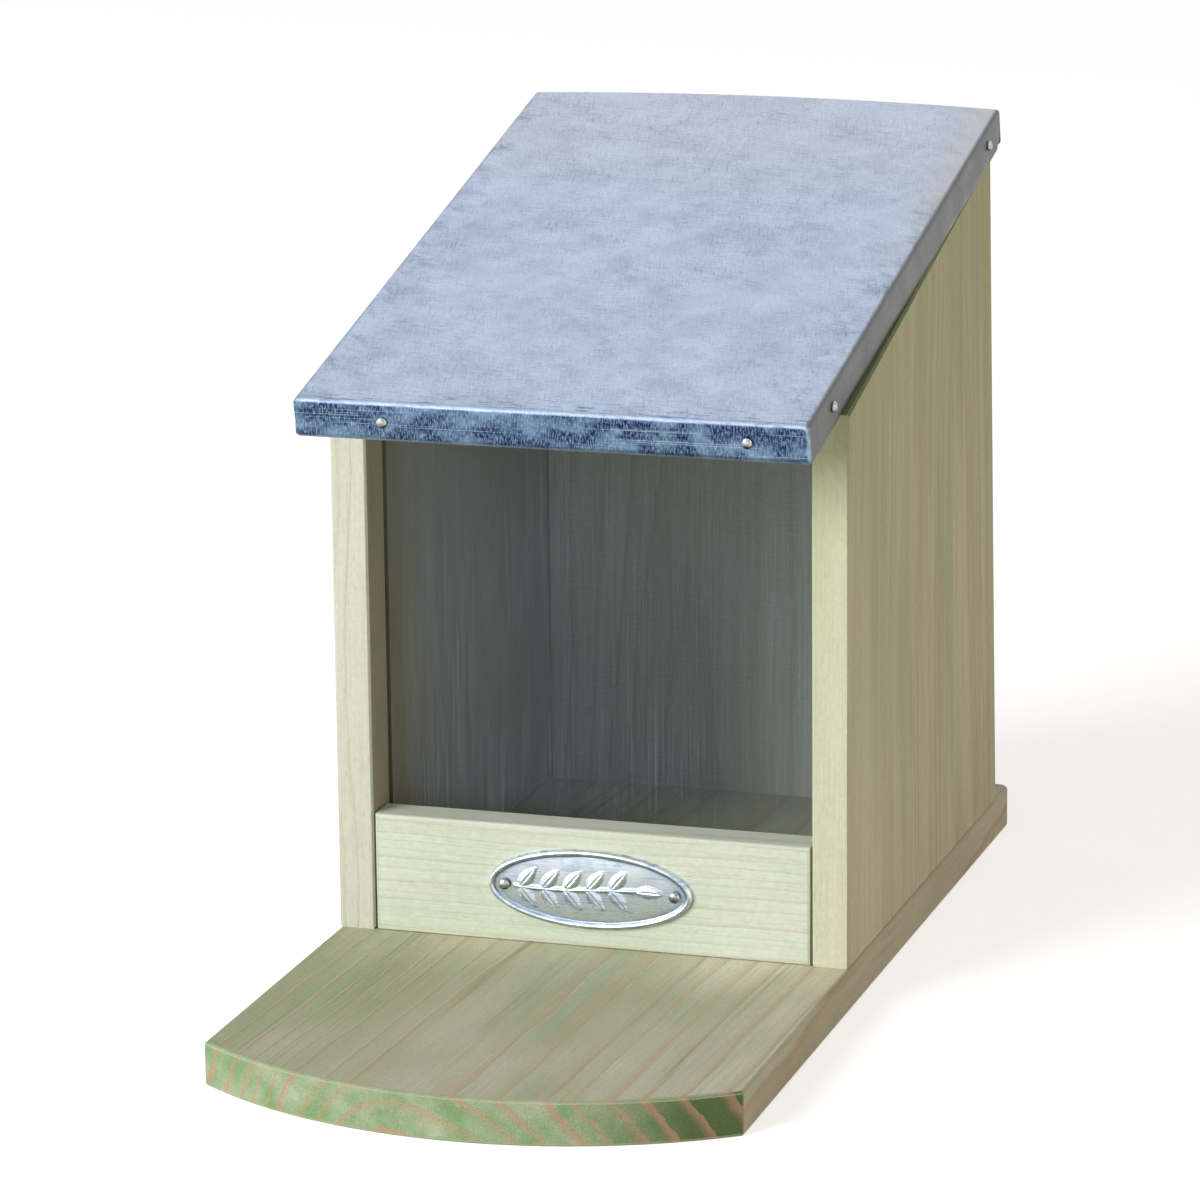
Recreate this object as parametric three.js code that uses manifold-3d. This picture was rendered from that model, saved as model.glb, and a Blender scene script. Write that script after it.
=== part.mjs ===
// Squirrel feeder box: a wooden hopper behind a clear pane, standing on a base board whose
// front runs out to a rounded feeding shelf, under a hinged lid clad in folded zinc sheet.
// Millimetres, +Z up, the open front towards -Y. The origin lies on the base board's
// underside, below the middle of the box.
import * as THREE from 'three';
import { TessellateModifier } from 'three/addons/modifiers/TessellateModifier.js';
import { mergeVertices } from 'three/addons/utils/BufferGeometryUtils.js';
import Module from 'manifold-3d';

const wasm = await Module();
wasm.setup();

// The wooden box
const boxWidth = 120;
const boxDepth = 140;
const panelFrontHeight = 125.7;
const roofSlopeDegrees = 13.5;
const sideBoard = 8.5;
const backBoard = 9.5;
const railThickness = 9.5;
const railHeight = 27.5;
const arris = 0.5;

// The base board, measured from the box's front and rear faces
const baseBoard = 10;
const shelfCornerReach = 85;
const shelfNoseReach = 105;
const baseRearReach = 15;
const baseRearRadius = 3;

// The clear pane and its grooves
const paneThickness = 2;
const paneSetback = 1.6;
const paneClearance = 0.3;
const paneHeadroom = 1.5;
const grooveDepth = 4;

// The lid, measured along the slope
const lidSideInset = 1.75;
const lidFrontOverhang = 25.5;
const lidRearOverhang = 8;
const lidDepth = 9.2;
const zincSheet = 0.6;
const zincBendRadius = 1.3;
const zincCrown = 1.3;
const endLipCornerRadius = 0.8;
const sideLipSnip = 2.5;

// The butt hinges
const hingeLength = 25;
const hingeSpacingShare = 0.56;
const leafThickness = 0.9;
const leafCornerRadius = 1.2;
const pinRadius = 0.8;
const pinClearance = 0.2;
const pinHeadRadius = 1.35;
const pinHeadHeight = 0.6;
const barrelClearance = 0.4;
const knuckleCount = 5;
const curlSweepDegrees = 285;
const hingeScrewPitchShare = 0.56;
const hingeScrewHeadRadius = 2.1;
const hingeScrewRadius = 1.1;
const hingeScrewLength = 10;
const lidScrewBiteShare = 0.72;

// The screws that come up through the base board
const baseScrewHeadRadius = 3.2;
const baseScrewHeadHeight = 2.2;
const baseScrewRadius = 1.5;
const baseScrewLength = 25;
const panelScrewShare = 0.62;
const railScrewShare = 0.64;

// The round-headed nails in the zinc and in the name plate
const roofNailHeadRadius = 1.3;
const roofNailHeadHeight = 0.8;
const roofNailRadius = 0.7;
const roofNailLength = 8;
const frontNailShares = [-0.655, 0.762];
const sideNailFrontInset = 19.2;
const sideNailRearInset = 12.5;
const plateNailHeadRadius = 1.15;
const plateNailHeadHeight = 0.7;
const plateNailRadius = 0.6;
const plateNailLength = 7;

// The oval name plate
const plateWidth = 48;
const plateHeight = 18.5;
const plateSheet = 0.5;
const plateRimWidth = 1.7;
const plateRimHeight = 0.65;
const plateCrown = 0.3;
const plateNailInset = 4;
// The rim's section, from the sheet's edge to the field: inset and rise as shares of the rim
const rimShares = [[0, 0], [0.15, 0.7], [0.45, 1], [0.75, 0.7], [1, 0]];

// The sprig pressed into the name plate
const leafRelief = 0.45;
const leafLengthShare = 0.27;
const leafWidthShare = 0.42;
const leafEaseShare = 0.1;
const leafTurnDegrees = 52;
const leafPlaceShares = [-0.62, -0.34, -0.06, 0.22, 0.5];
const endLeafShare = 0.68;
const stemShare = 0.72;

// The keyhole that the box hangs on
const keyholeRadius = 5;
const keyholeSlotRadius = 2.5;
const keyholeRise = 9;
const keyholeDrop = 34;

// A screw head's cross recess, as shares of the head's radius and height
const recessArmShare = 0.6;
const recessWallShare = 0.14;
const recessDepthShare = 0.55;

// Clear gap between pieces that touch, and how far a cut runs past its piece
const fit = 0.25;
const overrun = 3;

const slope = THREE.MathUtils.degToRad(roofSlopeDegrees);
const boxFront = -boxDepth / 2;
const boxRear = boxDepth / 2;
const innerHalfWidth = boxWidth / 2 - sideBoard;
const barrelInner = pinRadius + pinClearance;
const barrelRadius = barrelInner + leafThickness;
const hingeStack = barrelRadius + fit;
const lidHalfWidth = boxWidth / 2 - lidSideInset;
const lidFront = -lidFrontOverhang;
const lidRear = boxDepth / Math.cos(slope) + lidRearOverhang;
const lidBoard = lidDepth - zincSheet - fit;
const grooveFront = boxFront + railThickness + paneSetback;
const grooveWidth = paneThickness + 2 * paneClearance;
const leafReach = (backBoard + barrelClearance + barrelRadius) / Math.cos(slope);
const screwReach = (backBoard / 2 + barrelClearance + barrelRadius) / Math.cos(slope);
const roundSteps = 16;
const nailSteps = 12;
const ovalSteps = 40;
const noseSteps = 24;
const cornerSteps = 4;
const bowFacetShare = 0.8;
const bowSteps = 12;

const looks = {
  pine: { color: 0xcfd4b0, roughness: 0.8, metalness: 0 },
  shadedPine: { color: 0xb4b48c, roughness: 0.8, metalness: 0 },
  basePine: { color: 0xb3b48a, roughness: 0.85, metalness: 0 },
  lidPine: { color: 0xc6bd92, roughness: 0.85, metalness: 0 },
  clear: { color: 0xe9eef2, roughness: 0.12, metalness: 0, transparent: true, opacity: 0.25 },
  zinc: { color: 0xa7b4c6, roughness: 0.45, metalness: 0.85 },
  steel: { color: 0xc2c6ca, roughness: 0.3, metalness: 1 },
  tinplate: { color: 0xc6ccd2, roughness: 0.34, metalness: 1 },
  platedSteel: { color: 0xb4b7bb, roughness: 0.38, metalness: 1 },
};

function piece(name, look, geometry) {
  const mesh = new THREE.Mesh(geometry, new THREE.MeshStandardMaterial(looks[look]));
  mesh.name = name;
  return mesh;
}

// Height of the lid's underside at a depth y, seen from the base board's top
function lidUnderside(y) {
  return panelFrontHeight + (fit / Math.cos(slope)) + (y - boxFront) * Math.tan(slope);
}

function solidOf(geometry) {
  const bare = geometry.clone();
  bare.deleteAttribute('normal');
  bare.deleteAttribute('uv');
  const merged = mergeVertices(bare);
  return new wasm.Manifold(new wasm.Mesh({
    numProp: 3,
    vertProperties: merged.attributes.position.array,
    triVerts: Uint32Array.from(merged.index.array),
  }));
}

function geometryOf(solid) {
  const mesh = solid.getMesh();
  const geometry = new THREE.BufferGeometry();
  geometry.setAttribute('position', new THREE.BufferAttribute(mesh.vertProperties, 3));
  geometry.setIndex(new THREE.BufferAttribute(mesh.triVerts, 1));
  geometry.computeVertexNormals();
  return geometry;
}

function cut(geometry, tools) {
  let body = solidOf(geometry);
  for (const tool of tools) body = body.subtract(solidOf(tool));
  return geometryOf(body);
}

function joined(geometries) {
  let body = solidOf(geometries[0]);
  for (const geometry of geometries.slice(1)) body = body.add(solidOf(geometry));
  return geometryOf(body);
}

// A straight board from its outline, with its sharp edges eased by the arris
function easedBoard(outline, thickness) {
  const geometry = new THREE.ExtrudeGeometry(outline, {
    depth: thickness - 2 * arris,
    bevelThickness: arris,
    bevelSize: arris,
    bevelOffset: -arris,
    bevelSegments: 1,
  });
  return geometry.translate(0, 0, arris);
}

function plainBoard(outline, thickness) {
  return new THREE.ExtrudeGeometry(outline, { depth: thickness, bevelEnabled: false, curveSegments: 6 });
}

// Stands an outline drawn in X and Y up in Y and Z, so that its thickness runs along X
function facingX(geometry) {
  return geometry.rotateX(Math.PI / 2).rotateZ(Math.PI / 2);
}

// Stands an outline drawn in X and Y up in X and Z, so that its thickness runs along +Y
function facingY(geometry, thickness) {
  return geometry.rotateX(Math.PI / 2).translate(0, thickness, 0);
}

function block(xRange, yRange, zRange) {
  const size = [xRange, yRange, zRange].map(([low, high]) => high - low);
  const centre = [xRange, yRange, zRange].map(([low, high]) => (low + high) / 2);
  return new THREE.BoxGeometry(...size).translate(...centre);
}

function outlineOf(points) {
  return new THREE.Shape(points.map(([x, y]) => new THREE.Vector2(x, y)));
}

function arcPoints(x, y, radius, from, to, steps) {
  return Array.from({ length: steps + 1 }, (_, step) => {
    const turn = from + ((to - from) * step) / steps;
    return [x + radius * Math.cos(turn), y + radius * Math.sin(turn)];
  });
}

// A round hole whose axis runs along +Z from its foot
function upwardHole(radius, length, [x, y, z]) {
  const hole = new THREE.CylinderGeometry(radius, radius, length, roundSteps);
  return hole.rotateX(Math.PI / 2).translate(x, y, z + length / 2);
}

// A countersunk screw along -Z with the face of its head at zero and a cross recess in it
function screw(headRadius, headHeight, radius, length) {
  const profile = [
    [0, -length],
    [radius, radius - length],
    [radius, -headHeight],
    [headRadius, 0],
    [0, 0],
  ];
  const turned = new THREE.LatheGeometry(profile.map(([x, y]) => new THREE.Vector2(x, y)), roundSteps);
  const arm = headRadius * recessArmShare;
  const wall = headRadius * recessWallShare;
  const depth = headHeight * recessDepthShare;
  const recess = [
    block([-arm, arm], [-wall, wall], [-depth, overrun]),
    block([-wall, wall], [-arm, arm], [-depth, overrun]),
  ];
  return cut(turned.rotateX(Math.PI / 2), recess);
}

// The hole for such a screw: its shank's clearance and the sink for its head
function screwHole(headRadius, headHeight, radius, length) {
  const profile = [
    [0, -length - fit],
    [radius + fit, -length - fit],
    [radius + fit, -headHeight - fit],
    [headRadius + fit, -fit],
    [headRadius + fit, overrun],
    [0, overrun],
  ];
  const turned = new THREE.LatheGeometry(profile.map(([x, y]) => new THREE.Vector2(x, y)), roundSteps);
  return turned.rotateX(Math.PI / 2);
}

// A nail along -Z whose domed head stands on zero
function nail(headRadius, headHeight, radius, length) {
  const domeSteps = 3;
  const profile = [
    [0, -length],
    [radius, radius - length],
    [radius, 0],
    [headRadius, 0],
  ];
  for (let step = 1; step <= domeSteps; step += 1) {
    const turn = (step / domeSteps) * (Math.PI / 2);
    const onAxis = step === domeSteps;
    profile.push([onAxis ? 0 : headRadius * Math.cos(turn), headHeight * Math.sin(turn)]);
  }
  const turned = new THREE.LatheGeometry(profile.map(([x, y]) => new THREE.Vector2(x, y)), nailSteps);
  return turned.rotateX(Math.PI / 2);
}

function nailHole(radius, length) {
  return upwardHole(radius + fit, length + fit + overrun, [0, 0, -length - fit]);
}

// Places of the screws that come up through the base board
function baseScrewPlaces() {
  const panelX = boxWidth / 2 - sideBoard / 2;
  const panelY = panelScrewShare * boxRear;
  const railX = railScrewShare * innerHalfWidth;
  return [
    { name: 'left_panel_screw_front', x: -panelX, y: -panelY, carries: 'left' },
    { name: 'left_panel_screw_rear', x: -panelX, y: panelY, carries: 'left' },
    { name: 'right_panel_screw_front', x: panelX, y: -panelY, carries: 'right' },
    { name: 'right_panel_screw_rear', x: panelX, y: panelY, carries: 'right' },
    { name: 'rail_screw_left', x: -railX, y: boxFront + railThickness / 2, carries: 'rail' },
    { name: 'rail_screw_right', x: railX, y: boxFront + railThickness / 2, carries: 'rail' },
    { name: 'back_screw_left', x: -railX, y: boxRear - backBoard / 2, carries: 'back' },
    { name: 'back_screw_right', x: railX, y: boxRear - backBoard / 2, carries: 'back' },
  ];
}

// Pilot holes of the base screws in the piece that they hold, seen from the base board's top
function pilotHoles(carried) {
  const bite = baseScrewLength - baseBoard;
  const places = baseScrewPlaces().filter(({ carries }) => carries === carried);
  return places.map(({ x, y }) => upwardHole(baseScrewRadius + fit, bite + overrun + fit, [x, y, -overrun]));
}

function baseOutline() {
  const half = boxWidth / 2;
  const cornerY = boxFront - shelfCornerReach;
  const rise = shelfNoseReach - shelfCornerReach;
  const noseRadius = (half * half + rise * rise) / (2 * rise);
  const noseCentreY = boxFront - shelfNoseReach + noseRadius;
  const fromAngle = Math.atan2(cornerY - noseCentreY, -half);
  const toAngle = Math.atan2(cornerY - noseCentreY, half);
  const cornerX = half - baseRearRadius;
  const rearY = boxRear + baseRearReach - baseRearRadius;
  return outlineOf([
    ...arcPoints(0, noseCentreY, noseRadius, fromAngle, toAngle, noseSteps),
    ...arcPoints(cornerX, rearY, baseRearRadius, 0, Math.PI / 2, cornerSteps),
    ...arcPoints(-cornerX, rearY, baseRearRadius, Math.PI / 2, Math.PI, cornerSteps),
  ]);
}

function baseBoardPiece() {
  const holes = baseScrewPlaces().map(({ x, y }) => {
    const hole = screwHole(baseScrewHeadRadius, baseScrewHeadHeight, baseScrewRadius, baseScrewLength);
    return hole.rotateX(Math.PI).translate(x, y, fit);
  });
  return piece('base_board', 'basePine', cut(easedBoard(baseOutline(), baseBoard), holes));
}

function sidePanel(side) {
  const rise = boxDepth * Math.tan(slope);
  const outline = outlineOf([
    [boxFront, 0],
    [boxRear, 0],
    [boxRear, panelFrontHeight + rise],
    [boxFront, panelFrontHeight],
  ]);
  const outerX = side * (boxWidth / 2);
  const innerX = side * innerHalfWidth;
  const panel = facingX(easedBoard(outline, sideBoard)).translate(Math.min(outerX, innerX), 0, 0);
  const grooveX = [innerX - side * overrun, innerX + side * grooveDepth].sort((a, b) => a - b);
  const grooveTop = panelFrontHeight + rise + overrun;
  const groove = block(grooveX, [grooveFront, grooveFront + grooveWidth], [-overrun, grooveTop]);
  const name = side < 0 ? 'left' : 'right';
  const look = side < 0 ? 'pine' : 'shadedPine';
  const mesh = piece(`${name}_side_panel`, look, cut(panel, [groove, ...pilotHoles(name)]));
  mesh.position.z = baseBoard;
  return mesh;
}

function frontRail() {
  const half = innerHalfWidth - fit;
  const outline = outlineOf([[-half, 0], [half, 0], [half, railHeight], [-half, railHeight]]);
  const rail = facingY(easedBoard(outline, railThickness), railThickness).translate(0, boxFront, 0);
  const plateHoles = [-1, 1].map((side) => {
    const hole = nailHole(plateNailRadius, plateNailLength).rotateX(Math.PI / 2);
    return hole.translate(side * (plateWidth / 2 - plateNailInset), boxFront - plateSheet, railHeight / 2);
  });
  const mesh = piece('front_rail', 'pine', cut(rail, [...plateHoles, ...pilotHoles('rail')]));
  mesh.position.z = baseBoard;
  return mesh;
}

// The keyhole: a round entry below a narrow slot, through the back panel
function keyhole() {
  const lift = lidUnderside(boxRear) - keyholeDrop;
  const outline = new THREE.Shape();
  const meet = Math.asin(keyholeSlotRadius / keyholeRadius);
  outline.absarc(0, 0, keyholeRadius, Math.PI / 2 + meet, Math.PI * 2.5 - meet, false);
  outline.absarc(0, keyholeRise, keyholeSlotRadius, 0, Math.PI, false);
  outline.closePath();
  const length = backBoard + 2 * overrun;
  const tool = facingY(plainBoard(outline, length), length);
  return tool.translate(0, boxRear - backBoard - overrun, lift);
}

function backPanel() {
  const drop = (2 * hingeStack) / Math.cos(slope);
  const innerY = boxRear - backBoard;
  const outline = outlineOf([
    [innerY, 0],
    [boxRear, 0],
    [boxRear, lidUnderside(boxRear) - drop],
    [innerY, lidUnderside(innerY) - drop],
  ]);
  const width = 2 * (innerHalfWidth - fit);
  const board = facingX(plainBoard(outline, width)).translate(-width / 2, 0, 0);
  const hingeHoles = hingePlaces().flatMap((hingeX) => screwOffsets().map((offset) => {
    const hole = nailHole(hingeScrewRadius, hingeScrewLength);
    hole.translate(hingeX + offset, -screwReach, -barrelInner);
    return hole.rotateX(slope).translate(0, hingeAxis().y, hingeAxis().z - baseBoard);
  }));
  const mesh = piece('back_panel', 'pine', cut(board, [keyhole(), ...hingeHoles, ...pilotHoles('back')]));
  mesh.position.z = baseBoard;
  return mesh;
}

// The pane stands in the side panels' grooves behind the rail
function windowPane() {
  const half = innerHalfWidth + grooveDepth - paneClearance;
  const frontY = grooveFront + paneClearance;
  const top = lidUnderside(frontY) - paneHeadroom;
  const pane = block([-half, half], [frontY, frontY + paneThickness], [paneClearance, top]);
  const mesh = piece('window_pane', 'clear', pane);
  mesh.position.z = baseBoard;
  return mesh;
}

// Where the pins run: behind the back panel, midway between its top edge and the lid
function hingeAxis() {
  const y = boxRear + barrelClearance + barrelRadius;
  return new THREE.Vector3(0, y, baseBoard + lidUnderside(y) - hingeStack / Math.cos(slope));
}

function hingePlaces() {
  return [-1, 1].map((side) => side * hingeSpacingShare * innerHalfWidth);
}

function screwOffsets() {
  return [-1, 1].map((side) => (side * hingeScrewPitchShare * hingeLength) / 2);
}

// A hinge leaf in the hinge's own frame, with the pin along X and the leaf reaching to -Y.
// side -1 is the leaf below the pin, on the back panel; +1 is the one above it, on the lid.
function hingeLeaf(side) {
  const half = hingeLength / 2;
  const notch = barrelRadius + fit;
  const corner = leafCornerRadius;
  const outline = new THREE.Shape();
  outline.moveTo(half, -notch);
  outline.lineTo(-half, -notch);
  outline.absarc(corner - half, corner - leafReach, corner, Math.PI, Math.PI * 1.5, false);
  outline.absarc(half - corner, corner - leafReach, corner, Math.PI * 1.5, Math.PI * 2, false);
  outline.closePath();
  const lift = side < 0 ? -barrelRadius : barrelInner;
  const plate = plainBoard(outline, leafThickness).translate(0, 0, lift);
  const pitch = hingeLength / knuckleCount;
  const first = side < 0 ? 0 : 1;
  const knuckles = [];
  for (let index = first; index < knuckleCount; index += 2) {
    const from = -half + index * pitch + (index > 0 ? fit / 2 : 0);
    const to = -half + (index + 1) * pitch - (index < knuckleCount - 1 ? fit / 2 : 0);
    knuckles.push(facingX(plainBoard(curlOutline(side), to - from)).translate(from, 0, 0));
  }
  const holes = screwOffsets().map((offset) => {
    const hole = screwHole(hingeScrewHeadRadius, leafThickness, hingeScrewRadius, hingeScrewLength);
    const turned = side < 0 ? hole : hole.rotateX(Math.PI);
    return turned.translate(offset, -screwReach, side * barrelInner);
  });
  return cut(joined([plate, ...knuckles]), holes);
}

// Section of a knuckle: the sheet comes in flat, curls round the pin and ends short of itself
function curlOutline(side) {
  const start = side * (Math.PI / 2);
  const end = start - side * THREE.MathUtils.degToRad(curlSweepDegrees);
  const clockwise = side > 0;
  const outline = new THREE.Shape();
  outline.moveTo(-notchReach(), side * barrelRadius);
  outline.absarc(0, 0, barrelRadius, start, end, clockwise);
  outline.absarc(0, 0, barrelInner, end, start, !clockwise);
  outline.lineTo(-notchReach(), side * barrelInner);
  outline.closePath();
  return outline;
}

// How far a knuckle's flat part runs into the leaf's plate
function notchReach() {
  return barrelRadius + fit + leafThickness;
}

// The pin, held between its two peened ends
function hingePin() {
  const half = hingeLength / 2 + fit;
  const profile = [
    [0, -half - pinHeadHeight],
    [pinHeadRadius * 0.7, -half - pinHeadHeight],
    [pinHeadRadius, -half],
    [pinRadius, -half],
    [pinRadius, half],
    [pinHeadRadius, half],
    [pinHeadRadius * 0.7, half + pinHeadHeight],
    [0, half + pinHeadHeight],
  ];
  const turned = new THREE.LatheGeometry(profile.map(([x, y]) => new THREE.Vector2(x, y)), roundSteps);
  return turned.rotateZ(Math.PI / 2);
}

function hingeScrew(side, length) {
  const body = screw(hingeScrewHeadRadius, leafThickness, hingeScrewRadius, length);
  return side < 0 ? body : body.rotateX(Math.PI);
}

function hinge(name, x) {
  const group = new THREE.Group();
  group.position.copy(hingeAxis()).setX(x);
  group.rotation.x = slope;
  group.add(piece(`${name}_hinge_box_leaf`, 'platedSteel', hingeLeaf(-1)));
  group.add(piece(`${name}_hinge_lid_leaf`, 'platedSteel', hingeLeaf(1)));
  group.add(piece(`${name}_hinge_pin`, 'steel', hingePin()));
  const lidScrewLength = leafThickness + fit + lidScrewBiteShare * lidBoard;
  screwOffsets().forEach((offset) => {
    const place = offset * x > 0 ? 'outer' : 'inner';
    const boxScrew = piece(`${name}_hinge_box_screw_${place}`, 'steel', hingeScrew(-1, hingeScrewLength));
    boxScrew.position.set(offset, -screwReach, -barrelInner - fit);
    const lidScrew = piece(`${name}_hinge_lid_screw_${place}`, 'steel', hingeScrew(1, lidScrewLength));
    lidScrew.position.set(offset, -screwReach, barrelInner + fit);
    group.add(boxScrew, lidScrew);
  });
  return group;
}

// Places and headings of the nails in the zinc's lips, in the lid's own frame
function roofNails() {
  const height = lidDepth / 2;
  const frontNails = frontNailShares.map((share) => ({
    name: `roof_nail_front_${share < 0 ? 'left' : 'right'}`,
    place: [share * lidHalfWidth, lidFront, height],
    heading: new THREE.Vector3(0, -1, 0),
  }));
  const sideNails = [-1, 1].flatMap((side) => [
    { end: 'front', y: lidFront + sideNailFrontInset },
    { end: 'rear', y: lidRear - sideNailRearInset },
  ].map(({ end, y }) => ({
    name: `roof_nail_${side < 0 ? 'left' : 'right'}_${end}`,
    place: [side * lidHalfWidth, y, height],
    heading: new THREE.Vector3(side, 0, 0),
  })));
  return [...frontNails, ...sideNails];
}

// Turns a nail or its hole, made along Z, to its heading and moves it to its place
function driven(geometry, { place, heading }, standOff) {
  const turn = new THREE.Quaternion().setFromUnitVectors(new THREE.Vector3(0, 0, 1), heading);
  const shift = new THREE.Vector3(...place).addScaledVector(heading, standOff);
  return geometry.applyQuaternion(turn).translate(shift.x, shift.y, shift.z);
}

function lidBoardPiece() {
  const margin = zincSheet + fit;
  const half = lidHalfWidth - margin;
  const board = block([-half, half], [lidFront + margin, lidRear - margin], [0, lidBoard]);
  const nailHoles = roofNails().map((spec) => driven(nailHole(roofNailRadius, roofNailLength), spec, 0));
  const axisAlong = (hingeAxis().y - boxFront - hingeStack * Math.sin(slope)) / Math.cos(slope);
  const bite = lidScrewBiteShare * lidBoard;
  const screwHoles = hingePlaces().flatMap((x) => screwOffsets().map((offset) => (
    upwardHole(hingeScrewRadius + fit, bite + fit + overrun, [x + offset, axisAlong - screwReach, -overrun])
  )));
  return piece('lid_board', 'lidPine', cut(board, [...nailHoles, ...screwHoles]));
}

// A block with its top edges rounded, as sheet lies when it is folded down all round
function foldedBlock(halfWidth, from, to, height, radius) {
  const roundedTop = (half) => {
    const outline = new THREE.Shape();
    outline.moveTo(-half, 0);
    outline.lineTo(half, 0);
    outline.absarc(half - radius, height - radius, radius, 0, Math.PI / 2, false);
    outline.absarc(radius - half, height - radius, radius, Math.PI / 2, Math.PI, false);
    outline.closePath();
    return outline;
  };
  const length = to - from;
  const alongY = facingY(plainBoard(roundedTop(halfWidth), length), length).translate(0, from, 0);
  const alongX = facingX(plainBoard(roundedTop(length / 2), 2 * halfWidth));
  alongX.translate(-halfWidth, (from + to) / 2, 0);
  return solidOf(alongY).intersect(solidOf(alongX));
}

// Bows the pan's flat off its board, most at the middle of the rear edge, where no nail holds it
function bowed(geometry) {
  const fine = new TessellateModifier(bowFacetShare * lidHalfWidth, bowSteps).modify(geometry);
  const position = fine.attributes.position;
  for (let index = 0; index < position.count; index += 1) {
    const acrossShare = position.getX(index) / lidHalfWidth;
    const alongShare = (position.getY(index) - lidFront) / (lidRear - lidFront);
    const upShare = Math.min(1, position.getZ(index) / (lidDepth - zincBendRadius));
    const lift = zincCrown * (1 - acrossShare ** 2) * alongShare * upShare;
    position.setZ(index, position.getZ(index) + lift);
  }
  return fine;
}

// What rounds the lower corners of a front or rear lip that starts at a given place
function endLipCorners(from) {
  const radius = endLipCornerRadius;
  const outline = new THREE.Shape();
  outline.moveTo(lidHalfWidth - radius, -overrun);
  outline.lineTo(lidHalfWidth + overrun, -overrun);
  outline.lineTo(lidHalfWidth + overrun, radius);
  outline.absarc(lidHalfWidth - radius, radius, radius, 0, -Math.PI / 2, true);
  outline.closePath();
  const length = zincSheet + fit / 2;
  const right = facingY(plainBoard(outline, length), length).translate(0, from, 0);
  return [right, right.clone().rotateZ(Math.PI).translate(0, 2 * from + length, 0)];
}

// What snips the lower rear corner off a side lip
function sideLipSnips(across) {
  const end = lidRear - zincSheet - fit;
  const outline = outlineOf([
    [end - sideLipSnip - overrun, -overrun],
    [end + fit / 2, -overrun],
    [end + fit / 2, sideLipSnip + fit / 2],
  ]);
  const width = across[1] - across[0];
  return facingX(plainBoard(outline, width)).translate(across[0], 0, 0);
}

// The zinc: a shallow pan folded from one sheet, its side lips slit free behind the end lips
function roofCover() {
  const outer = foldedBlock(lidHalfWidth, lidFront, lidRear, lidDepth, zincBendRadius);
  const depth = lidDepth - zincSheet + overrun;
  const inner = foldedBlock(
    lidHalfWidth - zincSheet,
    lidFront + zincSheet,
    lidRear - zincSheet,
    depth,
    zincBendRadius - zincSheet,
  ).translate([0, 0, -overrun]);
  const slits = [-1, 1].flatMap((side) => {
    const lip = [side * (lidHalfWidth - zincSheet - fit), side * (lidHalfWidth + overrun)];
    const across = lip.sort((a, b) => a - b);
    const tall = [-overrun, lidDepth - zincBendRadius];
    return [
      block(across, [lidFront + zincSheet, lidFront + zincSheet + fit], tall),
      block(across, [lidRear - zincSheet - fit, lidRear - zincSheet], tall),
      sideLipSnips(across),
    ];
  });
  const corners = [...endLipCorners(lidFront - fit / 2), ...endLipCorners(lidRear - zincSheet)];
  const holes = roofNails().map((spec) => driven(nailHole(roofNailRadius, roofNailLength), spec, 0));
  const pan = bowed(geometryOf(outer.subtract(inner)));
  return piece('roof_cover', 'zinc', cut(pan, [...slits, ...corners, ...holes]));
}

// The lid lies on the side panels' sloped tops, in a frame tilted with them
function lid() {
  const group = new THREE.Group();
  group.position.set(0, boxFront, baseBoard + lidUnderside(boxFront));
  group.rotation.x = slope;
  group.add(lidBoardPiece(), roofCover());
  roofNails().forEach((spec) => {
    const body = nail(roofNailHeadRadius, roofNailHeadHeight, roofNailRadius, roofNailLength);
    group.add(piece(spec.name, 'steel', driven(body, spec, fit)));
  });
  return group;
}

// An oval turned from a profile of rings: each has its inset from the edge and its height.
// The first and last rings close on the middle.
function ovalTurned(halfWidth, halfHeight, profile, steps) {
  const positions = [];
  const ringPoint = (inset, turn) => {
    const x = halfWidth * Math.cos(turn);
    const y = halfHeight * Math.sin(turn);
    const normal = new THREE.Vector2(x / halfWidth ** 2, y / halfHeight ** 2).normalize();
    return [x - inset * normal.x, y - inset * normal.y];
  };
  profile.forEach(({ inset, height, centre }) => {
    for (let step = 0; step < steps; step += 1) {
      const [x, y] = centre ? [0, 0] : ringPoint(inset, (step / steps) * Math.PI * 2);
      positions.push(x, y, height);
    }
  });
  const index = [];
  for (let ring = 0; ring + 1 < profile.length; ring += 1) {
    for (let step = 0; step < steps; step += 1) {
      const a = ring * steps + step;
      const b = ring * steps + ((step + 1) % steps);
      if (!profile[ring + 1].centre) index.push(a, b + steps, a + steps);
      if (!profile[ring].centre) index.push(a, b, b + steps);
    }
  }
  const geometry = new THREE.BufferGeometry();
  geometry.setAttribute('position', new THREE.Float32BufferAttribute(positions, 3));
  geometry.setIndex(index);
  return geometry;
}

// A pressed leaf: a pointed oval that rises from the plate, its foot sunk in the sheet
function pressedLeaf(length, x, y, turnDegrees) {
  const outline = new THREE.Shape();
  outline.moveTo(0, 0);
  outline.quadraticCurveTo(length / 2, length * leafWidthShare, length, 0);
  outline.quadraticCurveTo(length / 2, -length * leafWidthShare, 0, 0);
  const ease = length * leafEaseShare;
  const leaf = new THREE.ExtrudeGeometry(outline, {
    depth: plateSheet / 2,
    bevelThickness: leafRelief,
    bevelSize: ease,
    bevelOffset: -ease,
    bevelSegments: 1,
    curveSegments: 4,
  });
  leaf.translate(0, 0, plateSheet / 2);
  return leaf.rotateZ(THREE.MathUtils.degToRad(turnDegrees)).translate(x, y, 0);
}

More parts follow.
